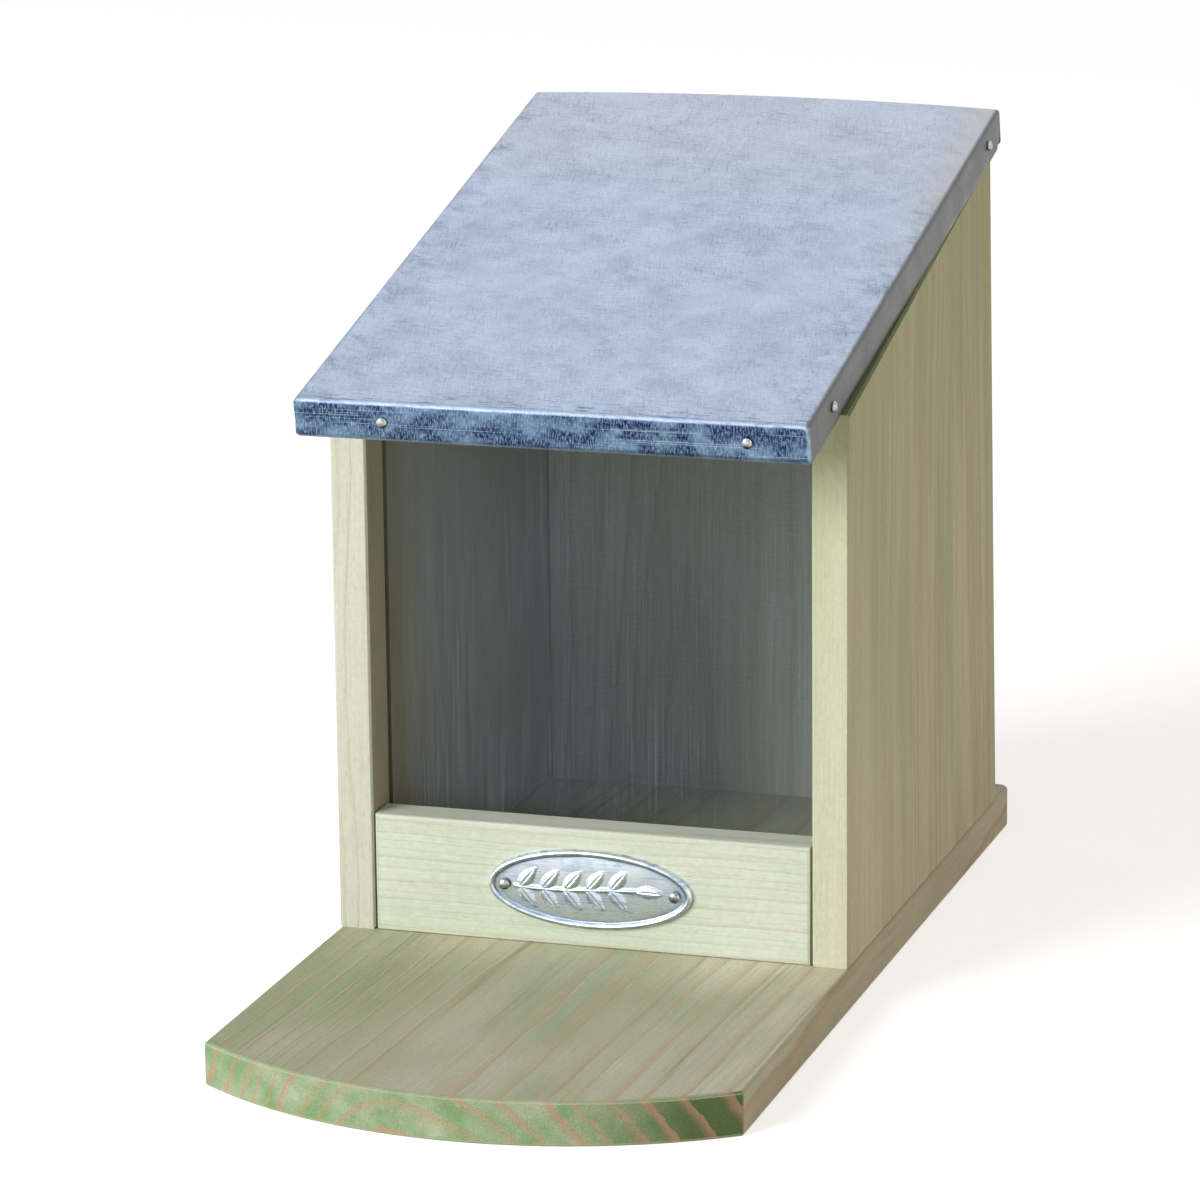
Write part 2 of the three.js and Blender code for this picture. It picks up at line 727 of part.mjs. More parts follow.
// A plain sprig of paired leaves along a stem, pressed into the plate's field
function sprig() {
  const reach = plateWidth / 2 - plateNailInset - 2 * plateNailHeadRadius;
  const leafLength = plateHeight * leafLengthShare;
  const stemReach = reach * stemShare;
  const stemDepth = [plateSheet / 2, plateSheet + leafRelief];
  const stem = block([-stemReach, stemReach], [-leafRelief, leafRelief], stemDepth);
  const pairs = leafPlaceShares.flatMap((share) => [-1, 1].map((side) => (
    pressedLeaf(leafLength, share * reach, 0, side * leafTurnDegrees)
  )));
  return [stem, ...pairs, pressedLeaf(leafLength, reach * endLeafShare, 0, 0)];
}

// The name plate: a thin oval of sheet with a rolled rim and a slightly crowned field
function namePlate() {
  const profile = [
    { height: 0, centre: true },
    { inset: plateSheet, height: 0 },
    ...rimShares.map(([inset, rise]) => (
      { inset: inset * plateRimWidth, height: plateSheet + rise * plateRimHeight }
    )),
    { height: plateSheet + plateCrown, centre: true },
  ];
  const oval = ovalTurned(plateWidth / 2, plateHeight / 2, profile, ovalSteps);
  const holes = [-1, 1].map((side) => {
    const hole = nailHole(plateNailRadius, plateNailLength);
    return hole.translate(side * (plateWidth / 2 - plateNailInset), 0, plateSheet);
  });
  const mesh = piece('name_plate', 'tinplate', cut(joined([oval, ...sprig()]), holes));
  mesh.rotation.x = Math.PI / 2;
  mesh.position.set(0, boxFront - fit, baseBoard + railHeight / 2);
  return mesh;
}

function plateNails() {
  return [-1, 1].map((side) => {
    const body = nail(plateNailHeadRadius, plateNailHeadHeight, plateNailRadius, plateNailLength);
    const mesh = piece(`plate_nail_${side < 0 ? 'left' : 'right'}`, 'steel', body);
    mesh.rotation.x = Math.PI / 2;
    const y = boxFront - plateSheet - plateCrown - 2 * fit;
    mesh.position.set(side * (plateWidth / 2 - plateNailInset), y, baseBoard + railHeight / 2);
    return mesh;
  });
}

function baseScrews() {
  return baseScrewPlaces().map(({ name, x, y }) => {
    const body = screw(baseScrewHeadRadius, baseScrewHeadHeight, baseScrewRadius, baseScrewLength - fit);
    const mesh = piece(name, 'platedSteel', body);
    mesh.rotation.x = Math.PI;
    mesh.position.set(x, y, fit);
    return mesh;
  });
}

const feeder = new THREE.Group();
feeder.add(baseBoardPiece(), sidePanel(-1), sidePanel(1), backPanel(), frontRail(), windowPane());
feeder.add(namePlate(), ...plateNails(), ...baseScrews(), lid());
hingePlaces().forEach((x) => feeder.add(hinge(x < 0 ? 'left' : 'right', x)));

export default feeder;
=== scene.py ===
# Squirrel feeder box: the looks of its pieces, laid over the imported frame. Metres, +Z up, front to -Y.
import math
from functools import partial

import bmesh
import bpy
from mathutils import Matrix, Vector, noise


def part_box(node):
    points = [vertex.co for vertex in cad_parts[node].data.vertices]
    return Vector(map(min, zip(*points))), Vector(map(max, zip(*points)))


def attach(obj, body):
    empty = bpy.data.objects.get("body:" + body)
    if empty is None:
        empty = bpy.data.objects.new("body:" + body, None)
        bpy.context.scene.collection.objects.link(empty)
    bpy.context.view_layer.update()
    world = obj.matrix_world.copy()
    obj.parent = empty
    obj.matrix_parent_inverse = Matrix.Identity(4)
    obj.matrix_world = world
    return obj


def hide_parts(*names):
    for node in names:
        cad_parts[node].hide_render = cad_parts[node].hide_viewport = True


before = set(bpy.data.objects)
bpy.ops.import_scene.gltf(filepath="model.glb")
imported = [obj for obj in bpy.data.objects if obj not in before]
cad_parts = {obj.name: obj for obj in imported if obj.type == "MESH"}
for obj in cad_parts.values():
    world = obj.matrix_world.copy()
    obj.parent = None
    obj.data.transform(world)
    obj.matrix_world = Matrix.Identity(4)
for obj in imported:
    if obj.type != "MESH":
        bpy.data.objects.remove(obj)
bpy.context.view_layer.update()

mm = 0.001


# Helpers

def linearColour(hexText):
    channels = [int(hexText[i:i + 2], 16) / 255 for i in (1, 3, 5)]
    linear = [c / 12.92 if c <= 0.04045 else ((c + 0.055) / 1.055) ** 2.4 for c in channels]
    return (*linear, 1.0)


# Adds a node with its settings. A kind without the word Node in it is a shader node. Inputs come in
# order or by name. Each is a value, a hex colour, a socket, or a node that feeds its first output.
def addNode(tree, kind, inputs=(), operation=None, **settings):
    node = tree.nodes.new(kind if "Node" in kind else "ShaderNode" + kind)
    if operation:
        node.operation = operation
    for name, value in settings.items():
        setattr(node, name, value)
    for key, value in inputs.items() if isinstance(inputs, dict) else enumerate(inputs):
        if isinstance(value, bpy.types.Node):
            value = value.outputs[0]
        if isinstance(value, bpy.types.NodeSocket):
            tree.links.new(value, node.inputs[key])
        else:
            isHex = isinstance(value, str) and value.startswith("#")
            node.inputs[key].default_value = linearColour(value) if isHex else value
    return node


# Noise with spots of the given sizes along three axes, on a place that may be turned first
def sizedNoise(add, place, sizes, detail, shift, turns=None, roughness=0.55):
    if turns:
        place = add("Mapping", {"Vector": place, "Rotation": [math.radians(turn) for turn in turns]})
    sized = add("Mapping", {
        "Vector": place, "Scale": [1 / size for size in sizes], "Location": (shift, shift, shift)})
    return add("TexNoise", {"Vector": sized, "Scale": 1.0, "Detail": detail, "Roughness": roughness})


# Reach of a node along a direction, as its lowest and highest value
def reach(node, direction):
    values = [vertex.co.dot(direction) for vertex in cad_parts[node].data.vertices]
    return min(values), max(values)


# The normal of a node's largest face, which for the lid board is square to the roof
def mainNormal(node):
    face = max(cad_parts[node].data.polygons, key=lambda polygon: polygon.area)
    return face.normal.copy()


axes = {"X": Vector((1, 0, 0)), "Y": Vector((0, 1, 0)), "Z": Vector((0, 0, 1))}
outOfRoof = mainNormal("lid_board")
if outOfRoof.z < 0:
    outOfRoof.negate()
roofSlope = math.atan2(-outOfRoof.y, outOfRoof.z)
alongRoof = Vector((0, math.cos(roofSlope), math.sin(roofSlope)))
acrossRoof = axes["X"]


# A CAD node's mesh is loose triangles. This copy has them joined and its flat faces whole.
def mergedCopy(node, joinWithin=0.002 * mm):
    shape = bmesh.new()
    shape.from_mesh(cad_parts[node].data)
    bmesh.ops.remove_doubles(shape, verts=shape.verts, dist=joinWithin)
    bmesh.ops.dissolve_limit(shape, angle_limit=math.radians(0.5), verts=shape.verts, edges=shape.edges)
    return shape


# Rounds the edges that are longer and sharper than the given limits, and gives the new faces
def roundEdges(shape, offset, longerThan, sharperThan, segments):
    edges = [edge for edge in shape.edges
             if len(edge.link_faces) == 2 and edge.calc_length() > longerThan
             and edge.calc_face_angle() > math.radians(sharperThan)]
    return bmesh.ops.bevel(shape, geom=edges, offset=offset, segments=segments, affect="EDGES",
                           clamp_overlap=True)["faces"]


def finishShape(shape, name):
    mesh = bpy.data.meshes.new(name)
    shape.to_mesh(mesh)
    shape.free()
    return mesh


# Rises smoothly from 0 at the low value to 1 at the high one
def smoothStep(low, high, value):
    share = min(1.0, max(0.0, (value - low) / (high - low)))
    return share * share * (3 - 2 * share)


# Makes an object of a mesh, smooth except across edges sharper than the given angle
def placePiece(name, mesh, material, sharpAngle=35):
    mesh.name = name
    mesh.polygons.foreach_set("use_smooth", [True] * len(mesh.polygons))
    mesh.set_sharp_from_angle(angle=math.radians(sharpAngle))
    if material is not None:
        mesh.materials.clear()
        mesh.materials.append(material)
    made = bpy.data.objects.new(name, mesh)
    bpy.context.scene.collection.objects.link(made)
    return made


def dressNode(made, body, slot, *nodes):
    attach(made, body)
    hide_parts(*nodes)


# A new material, what adds nodes to it, and the Object coordinates that its patterns are laid in
def newMaterial(name):
    material = bpy.data.materials.new(name)
    material.use_nodes = True
    tree = material.node_tree
    tree.nodes.clear()
    add = partial(addNode, tree)
    return material, add, add("TexCoord").outputs["Object"]


# Camera: found by matching the box's edges to the photograph, with the lens axis at the middle of it
camera = {
    "place": (360.43 * mm, -1199.5 * mm, 387.14 * mm),
    "azimuthDegrees": -17.56,
    "elevationDegrees": -14.041,
    "rollDegrees": -0.6258,
    "lensMm": 165.525,
    "sensorMm": 36,
    "clip": (0.05, 50),
}


def makeCamera():
    turn, tilt = math.radians(camera["azimuthDegrees"]), math.radians(camera["elevationDegrees"])
    roll = math.radians(camera["rollDegrees"])
    forward = Vector((math.sin(turn) * math.cos(tilt), math.cos(turn) * math.cos(tilt), math.sin(tilt)))
    right = forward.cross(axes["Z"]).normalized()
    up = right.cross(forward)
    rolledRight = math.cos(roll) * right + math.sin(roll) * up
    rolledUp = math.cos(roll) * up - math.sin(roll) * right
    data = bpy.data.cameras.new("camera")
    data.lens, data.sensor_width = camera["lensMm"], camera["sensorMm"]
    data.clip_start, data.clip_end = camera["clip"]
    made = bpy.data.objects.new("camera", data)
    turned = Matrix((rolledRight, rolledUp, -forward)).transposed()
    made.matrix_world = Matrix.Translation(camera["place"]) @ turned.to_4x4()
    bpy.context.scene.collection.objects.link(made)
    bpy.context.scene.camera = made


makeCamera()
print("camera placed")


# Light: an even pale room, a wide soft lamp from the front left and a weak one from the right
studio = {
    "roomStrength": 0.27,
    "roomColour": "#fafbff",
    "floorColour": "#f1f1ef",
    "floorSize": 12.0,
    "floorLift": 0.62,
    "fibreSize": 2.5 * mm,
    "fibreDepth": 0.1 * mm,
    "lamps": {
        "softboxFront": {"place": (-1.8, -2.5, 1.3), "size": 1.9, "watts": 103, "colour": "#ffffff"},
        "softboxRight": {"place": (2.4, -0.4, 0.8), "size": 1.6, "watts": 9, "colour": "#ffce8c"},
    },
    "aim": (0, -0.03, 0.09),
}


# 1 for rays that should see the background as white, 0 for those that light the object
def seesBackground(add):
    path = add("LightPath")
    some = add("Math", [path.outputs["Is Camera Ray"], path.outputs["Is Glossy Ray"]], "MAXIMUM")
    return add("Math", [some, path.outputs["Is Transmission Ray"]], "MAXIMUM")


def makeStudio():
    world = bpy.data.worlds.new("room")
    world.use_nodes = True
    world.node_tree.nodes.clear()
    add = partial(addNode, world.node_tree)
    strength = add("MapRange", [seesBackground(add), 0.0, 1.0, studio["roomStrength"], 1.0])
    room = add("Background", {"Color": studio["roomColour"], "Strength": strength})
    add("OutputWorld", {"Surface": room})
    bpy.context.scene.world = world

    for name, lamp in studio["lamps"].items():
        data = bpy.data.lights.new(name, "AREA")
        data.shape, data.size = "SQUARE", lamp["size"]
        data.energy, data.color = lamp["watts"], linearColour(lamp["colour"])[:3]
        made = bpy.data.objects.new(name, data)
        made.location = lamp["place"]
        towards = Vector(studio["aim"]) - made.location
        made.rotation_euler = towards.to_track_quat("-Z", "Y").to_euler()
        bpy.context.scene.collection.objects.link(made)

    # Painted paper floor: matt, and lifted to white for the camera where no shadow lies
    paper, add, place = newMaterial("matt_paper")
    fibres = add("TexNoise", {"Vector": place, "Scale": 1 / studio["fibreSize"]})
    bump = add("Bump", {"Height": fibres, "Strength": 0.1, "Distance": studio["fibreDepth"]})
    matt = add("BsdfDiffuse", {"Color": studio["floorColour"], "Normal": bump})
    lift = add("Math", [seesBackground(add), studio["floorLift"]], "MULTIPLY")
    glow = add("Emission", {"Strength": lift})
    add("OutputMaterial", [add("AddShader", [matt, glow])])
    half = studio["floorSize"] / 2
    corners = [(-half, -half, 0), (half, -half, 0), (half, half, 0), (-half, half, 0)]
    mesh = bpy.data.meshes.new("floor")
    mesh.from_pydata(corners, [], [(0, 1, 2, 3)])
    floor = placePiece("floor", mesh, paper)


makeStudio()
print("room, lamps and floor made")


# Treated pine

# Turns that bring a board's grain onto Z, by the axis that the grain runs along
grainTurns = {
    "X": (0, math.radians(-90), 0),
    "Y": (math.radians(90), 0, 0),
    "Z": (0, 0, 0),
}

# What a board may change of its pine. Spots are the width and length of a pattern's spots.
woodCommon = {
    "grainLeanDegrees": (0.6, -0.8),
    "narrowSide": 1.0,
    "ringShift": 0.0,
    "wander": 2.2 * mm,
    "wanderSpots": (30 * mm, 110 * mm),
    "ripple": 0.25 * mm,
    "rippleSpots": (2 * mm, 16 * mm),
    "yearSpread": 0.8,
    "lateWidth": 0.3,
    "flushStrength": 0.0,
    "crestHighlightStrength": 0.0,
    "fibreSpots": (0.4 * mm, 32 * mm),
    "fleckSpots": (0.3 * mm, 4 * mm),
    "streakSpots": (2.6 * mm, 160 * mm),
    "blotchSpots": (24 * mm, 57.6 * mm),
    "fuzzSpots": (0.8 * mm, 1.28 * mm),
    "poreSpots": (0.3 * mm, 0.3 * mm),
    "endPatchSpots": (7 * mm, 42 * mm),
    "greenLean": 0.0,
    "greenAlong": 0.0,
    "greenRange": (0.36, 0.66),
    "fibreShade": (0.93, 1.05),
    "cutterPitch": 1.4 * mm,
    "lateStrength": 0.5,
    "streakStrength": 0.3,
    "resinStrength": 0.0,
    "endDarkAndShadeFrom": 1.0,
    "early": "#dbdbce",
    "green": "#ced6bf",
    "late": "#bcb092",
    "blush": "#cdb5a0",
    "flush": "#cbb296",
    "crestHighlight": "#dcd6bd",
    "resin": "#8f8464",
    # Faces inside the hopper are painted darker with this colour: painted shade
    "stain": "#7c7152",
    "insideShadeStrength": 0.45,
    "endShade": (0.78, 1.07),
    # Cut ends: the salt's green, painted darker for the shade that the walls' tops lie in under the roof
    "endEarly": "#6b8b55",
    "endLate": "#8c8459",
    "endPale": "#82966a",
    # Colour of the cut end towards its right end: darker wood with painted shade
    "endDarkAndShade": "#4f6438",
    "rubbed": "#dbdbce",
}


# Pressure-treated Scots pine, planed and left bare: matt, a green cast in the soft early wood,
# tan late wood in lines, and end grain that has drunk more of the green salt.
def treatedPine(name, look):
    wood = {**woodCommon, **look}
    material, add, place = newMaterial(name)
    squared = add("Mapping", {
        "Vector": place, "Rotation": grainTurns[wood["grain"]], "Location": wood["pithShift"]})
    lean = [math.radians(angle) for angle in (*wood["grainLeanDegrees"], 0)]
    laid = add("Mapping", {"Vector": squared, "Rotation": lean})

    # Noise stretched along the grain, each with its detail and shift
    seed, grain = wood["seed"], {}
    for pattern, detail, shift in (
            ("wander", 1.5, seed), ("ripple", 1.0, seed + 3.0), ("fibre", 3.0, 11.0),
            ("fleck", 0.0, seed + 21.0), ("streak", 2.5, seed + 5.0), ("blotch", 2.5, seed + 9.0),
            ("pore", 1.0, 3.0), ("fuzz", 2.0, 15.0), ("endPatch", 3.0, seed + 31.0)):
        width, length = wood[pattern + "Spots"]
        grain[pattern] = sizedNoise(add, laid, (width, width, length), detail, shift)
    places = laid
    for wave in ("wander", "ripple"):
        centred = add("VectorMath", [grain[wave].outputs["Color"], (0.5, 0.5, 0.5)], "SUBTRACT")
        places = add("VectorMath", [
            centred, (4 * wood[wave], 4 * wood[wave], 0), places], "MULTIPLY_ADD")

    # A leaning tree grows narrower rings on one side of its heart
    x, y, z = add("SeparateXYZ", [places]).outputs
    narrowed = add("Math", [x, wood["narrowSide"]], "MULTIPLY")
    squeezed = add("Math", [x, narrowed], "MINIMUM")
    fromPith = add("VectorMath", [add("CombineXYZ", [squeezed, y])], "LENGTH").outputs["Value"]
    ringsOut = add("Math", [fromPith, wood["ringWidth"]], "DIVIDE")
    years = add("Math", [ringsOut, wood["ringShift"]])
    slow, marked = (add("TexNoise", {
        "W": years, "Scale": scale, "Detail": detail}, noise_dimensions="1D")
        for scale, detail in ((0.37, 1.0), (0.83, 0.0)))
    uneven = add("Math", [slow, 2 * wood["yearSpread"], years], "MULTIPLY_ADD")
    season = add("Math", [uneven], "FRACT")

    # How dark the wood is through a year: the late wood comes on slowly and stops at once
    lateWood = add("ValToRGB", [season])
    ramp = lateWood.color_ramp.elements
    width = wood["lateWidth"]
    ramp[0].position, ramp[0].color = 0.0, (0.2, 0.2, 0.2, 1)
    ramp[1].position, ramp[1].color = 1.0, (0.5, 0.5, 0.5, 1)
    for position, level in ((0.06, 0.0), (1 - 1.6 * width, 0.06), (1 - 0.8 * width, 0.3),
                            (1 - 0.4 * width, 0.9), (1 - 0.2 * width, 1.0)):
        ramp.new(position).color = (level, level, level, 1)

    leaned = add("Math", [x, wood["greenLean"], grain["blotch"]], "MULTIPLY_ADD")
    tilted = add("Math", [z, wood["greenAlong"], leaned], "MULTIPLY_ADD")
    # What each mark follows, where it starts and ends, and its least and most. Some years are marked
    # more strongly than others, and where the next year starts the wood stands up in a crest, painted
    # pale as a highlight.
    shadeFrom = wood["endDarkAndShadeFrom"]
    share = {name: add("MapRange", values) for name, values in {
        "green": (tilted, *wood["greenRange"]),
        "yearMark": (marked, 0.35, 0.65, 0.4),
        "crestHighlight": (season, 0.94, 0.97, 0.0, wood["crestHighlightStrength"]),
        "blush": (grain["streak"], 0.52, 0.74, 0.0, wood["streakStrength"]),
        "resinStreak": (grain["streak"], 0.42, 0.3, 0.0, wood["resinStrength"]),
        "resinFibre": (grain["fibre"], 0.42, 0.6, 0.15),
        "fibreShade": (grain["fibre"], 0.28, 0.72, *wood["fibreShade"]),
        "fleckShade": (grain["fleck"], 0.74, 0.84, 1.0, 0.85),
        "fuzzShade": (grain["fuzz"], 0.3, 0.7, 0.95, 1.05),
        "endEarly": (grain["endPatch"], 0.3, 0.66, 0.0, 0.9),
        # The cut end darkens towards the right: part darker wood, part painted shade where the front
        # turns from the lamp
        "endDarkAndShade": (x, shadeFrom, shadeFrom + 20 * mm, 0.0, 0.9),
        "endSeason": (season, 0.6, 0.92, 0.0, 0.85),
        "endShade": (grain["pore"], 0.3, 0.62, *wood["endShade"]),
        "rough": (grain["fibre"], 0.3, 0.7, 0.62, 0.86),
    }.items()}
    # The wood warms slowly towards a year's end, and dark resin runs along single fibres
    share["warming"] = add("Math", [season, 2.2], "POWER")
    share["lateWood"] = lateWood
    for joined, first, *others in (
            ("flush", "warming", wood["flushStrength"]),
            ("late", "yearMark", wood["lateStrength"], "lateWood"),
            ("resin", "resinStreak", "resinFibre"),
            ("sideShade", "fibreShade", "fleckShade", "fuzzShade"),
            ("endLate", "endSeason", "yearMark")):
        share[joined] = share[first]
        for other in others:
            share[joined] = add("Math", [share[joined], share.get(other, other)], "MULTIPLY")

    # The sides' colours, laid one over the other, then those of the cut ends: greener, with wide
    # salmon late wood and open pores, and darker towards the right end, part darker wood and part painted
    # shade
    shaded = []
    for ground, layers, shade in (
            ("early", ("green", "flush", "late", "crestHighlight", "blush", "resin"), "sideShade"),
            ("endPale", ("endEarly", "endDarkAndShade", "endLate"), "endShade")):
        colour = wood[ground]
        for layer in layers:
            colour = add("MixRGB", [share[layer], colour, wood[layer]])
        shaded.append(add("VectorMath", {0: colour, "Scale": share[shade]}, "SCALE"))
    isEnd, isInside, isEdge = (add("Attribute", attribute_name=layer).outputs["Fac"]
                               for layer in ("endGrain", "inside", "edge"))
    colour = add("MixRGB", [isEnd, *shaded])
    # Faces inside the hopper are painted darker: painted shade, twice as strong in the pane's grooves
    insideShaded = add("Math", [isInside, wood["insideShadeStrength"]], "MULTIPLY")
    rubbed = add("Math", [isEdge, grain["blotch"]], "MULTIPLY")
    for amount, layer in ((insideShaded, "stain"), (rubbed, "rubbed")):
        colour = add("MixRGB", [amount, colour, wood[layer]])

    # Relief: hard late wood stands proud, fibres lie along it and the planer's knife left faint steps
    alongBoard = add("SeparateXYZ", [laid]).outputs["Z"]
    knifeTurn = add("Math", [alongBoard, 2 * math.pi / wood["cutterPitch"]], "MULTIPLY")
    knifeStep = add("Math", [knifeTurn], "SINE")
    relief = grain["fibre"]
    for height, amount in ((lateWood, 0.5), (knifeStep, 0.05), (isEnd, grain["pore"])):
        relief = add("Math", [height, amount, relief], "MULTIPLY_ADD")
    bump = add("Bump", {"Height": relief, "Strength": 0.55, "Distance": 0.12 * mm})
    surface = add("BsdfPrincipled", {
        "Base Color": colour, "Roughness": share["rough"], "Normal": bump, "Specular IOR Level": 0.3})
    add("OutputMaterial", [surface])
    return material


# A board: the CAD shape with its arrises rounded, and its cut ends and edges marked for the material.
# A pith shift is the board's place from the heart of the tree, once its grain has been turned onto Z.
boardCommon = {"slot": "pine", "body": "box", "round": 0.25 * mm, "inside": Vector(), "sideShare": 0.0}
boards = {
    "baseBoard": {
        "node": "base_board", "slot": "base_pine", "round": 0.8 * mm, "sideShare": 0.12,
        "wood": {"grain": "Y", "pithShift": (4 * mm, -25 * mm, 0), "ringWidth": 5.4 * mm, "seed": 2.0,
                 "ringShift": 0.38, "narrowSide": 1.5, "lateWidth": 0.22, "wander": 1.5 * mm,
                 "flush": "#cfbb9b", "greenLean": -3.3, "greenAlong": -0.9, "greenRange": (0.2, 0.78),
                 "early": "#e2dec9", "green": "#a9b892", "late": "#a59070", "blush": "#d0b79c",
                 "lateStrength": 0.48, "flushStrength": 0.55, "crestHighlightStrength": 0.5,
                 "grainLeanDegrees": (0.25, -2.4), "streakStrength": 0.35, "resinStrength": 0.5,
                 "fibreShade": (0.91, 1.06), "endEarly": "#7a9d68", "endLate": "#bd9474",
                 "endPale": "#b0b89a", "endDarkAndShadeFrom": 40 * mm, "rubbed": "#bcc3a0"}},
    "leftWall": {
        "node": "left_side_panel", "inside": axes["X"],
        "wood": {"grain": "Z", "pithShift": (96 * mm, 22 * mm, 0), "ringWidth": 2.4 * mm, "seed": 7.0,
                 "early": "#d9d6c9", "green": "#ccd1bb", "blush": "#d2b5a2", "lateStrength": 0.4}},
    "rightWall": {
        "node": "right_side_panel", "inside": -axes["X"],
        "wood": {"grain": "Z", "pithShift": (-84 * mm, -34 * mm, 0), "ringWidth": 2.9 * mm, "seed": 13.0,
                 "early": "#d8d7be", "green": "#bcc49a", "late": "#bda880", "blush": "#cba285",
                 "streakStrength": 0.45, "wander": 1.6 * mm, "yearSpread": 1.5,
                 "blotchSpots": (13 * mm, 117 * mm), "greenAlong": 2.0, "greenRange": (0.5, 0.86)}},
    "frontRail": {
        "node": "front_rail", "inside": axes["Y"],
        "wood": {"grain": "X", "pithShift": (52 * mm, 62 * mm, 0), "ringWidth": 2.2 * mm, "seed": 23.0,
                 "early": "#dce2d4", "green": "#cfdbc5", "late": "#bdb494", "wander": 1.3 * mm,
                 "lateStrength": 0.46}},
    "backWall": {
        "node": "back_panel", "inside": -axes["Y"],
        "wood": {"grain": "Z", "pithShift": (12 * mm, -96 * mm, 0), "ringWidth": 3.6 * mm, "seed": 31.0,
                 "insideShadeStrength": 0.12}},
    "lidBoard": {
        "node": "lid_board", "slot": "lid_pine", "body": "lid",
        "wood": {"grain": "Y", "pithShift": (-9 * mm, 175 * mm, 0), "ringWidth": 3.4 * mm, "seed": 41.0,
                 "early": "#d2cfb5", "green": "#bcc6a2", "late": "#b09c74"}},
}


# The right wall was nailed on a little askew: it leans in towards its upper rear corner, and the
# back board's end follows it
askew = {"boards": ("rightWall", "backWall"), "inward": 2.4 * mm, "from": 42 * mm, "to": 51 * mm}


def leanInward(shape):
    front, rear = reach("right_side_panel", axes["Y"])
    low, high = reach("right_side_panel", axes["Z"])
    for vertex in shape.verts:
        x, y, z = vertex.co
        backShare = max(0.0, (y - front) / (rear - front))
        upShare = max(0.0, (z - low) / (high - low))
        vertex.co.x -= askew["inward"] * backShare * upShare * smoothStep(askew["from"], askew["to"], x)


def makeBoard(name, board):
    board = {**boardCommon, **board}
    shape = mergedCopy(board["node"])
    grain = axes[board["wood"]["grain"]]
    edgeLayer = shape.faces.layers.float.new("edge")
    endLayer = shape.faces.layers.float.new("endGrain")
    insideLayer = shape.faces.layers.float.new("inside")
    paneFront, paneRear = reach("window_pane", axes["Y"])
    for face in roundEdges(shape, board["round"], longerThan=2 * mm, sharperThan=25, segments=2):
        face[edgeLayer] = 1.0
    for face in shape.faces:
        isEnd = smoothStep(0.35, 0.75, abs(face.normal.dot(grain)))
        isSide = abs(face.normal.dot(acrossRoof)) > 0.9
        face[endLayer] = max(isEnd, board["sideShare"] * isSide)
        face[insideLayer] = float(face.normal.dot(board["inside"]) > 0.9)
        # The pane's grooves take a double share of the inside colour: a painted shadow line
        if paneFront - mm < face.calc_center_median().y < paneRear + mm and name.endswith("Wall"):
            face[insideLayer] = 2.0
    if name in askew["boards"]:
        leanInward(shape)
    pine = treatedPine("treated_pine_" + name, board["wood"])
    made = placePiece(name, finishShape(shape, name), pine, sharpAngle=50)
    made.modifiers.new("flatFaces", "WEIGHTED_NORMAL").keep_sharp = True
    dressNode(made, board["body"], board["slot"], board["node"])


for boardName, boardSpec in boards.items():
    makeBoard(boardName, boardSpec)
print("boards made")


# The clear pane

acrylic = {
    "tint": "#fafcfd",
    "mirrorShare": 0.55,
    "haze": 0.018,
    "scratchWidth": 0.26 * mm,
    "scratchLength": 34 * mm,
    "scratchStrength": 0.09,
    "patchesPerMetre": 30,
    "speckPitch": 3.6 * mm,
    "speckSize": 0.16 * mm,
    "speckStrength": 0.4,
    # The pale blue of the dust, and also of the mirrored room: a painted blue tint on the reflection
    "dustAndReflectionColour": "#b4c6ea",
    "edgeStrength": 0.55,
    "ior": 1.49,
}


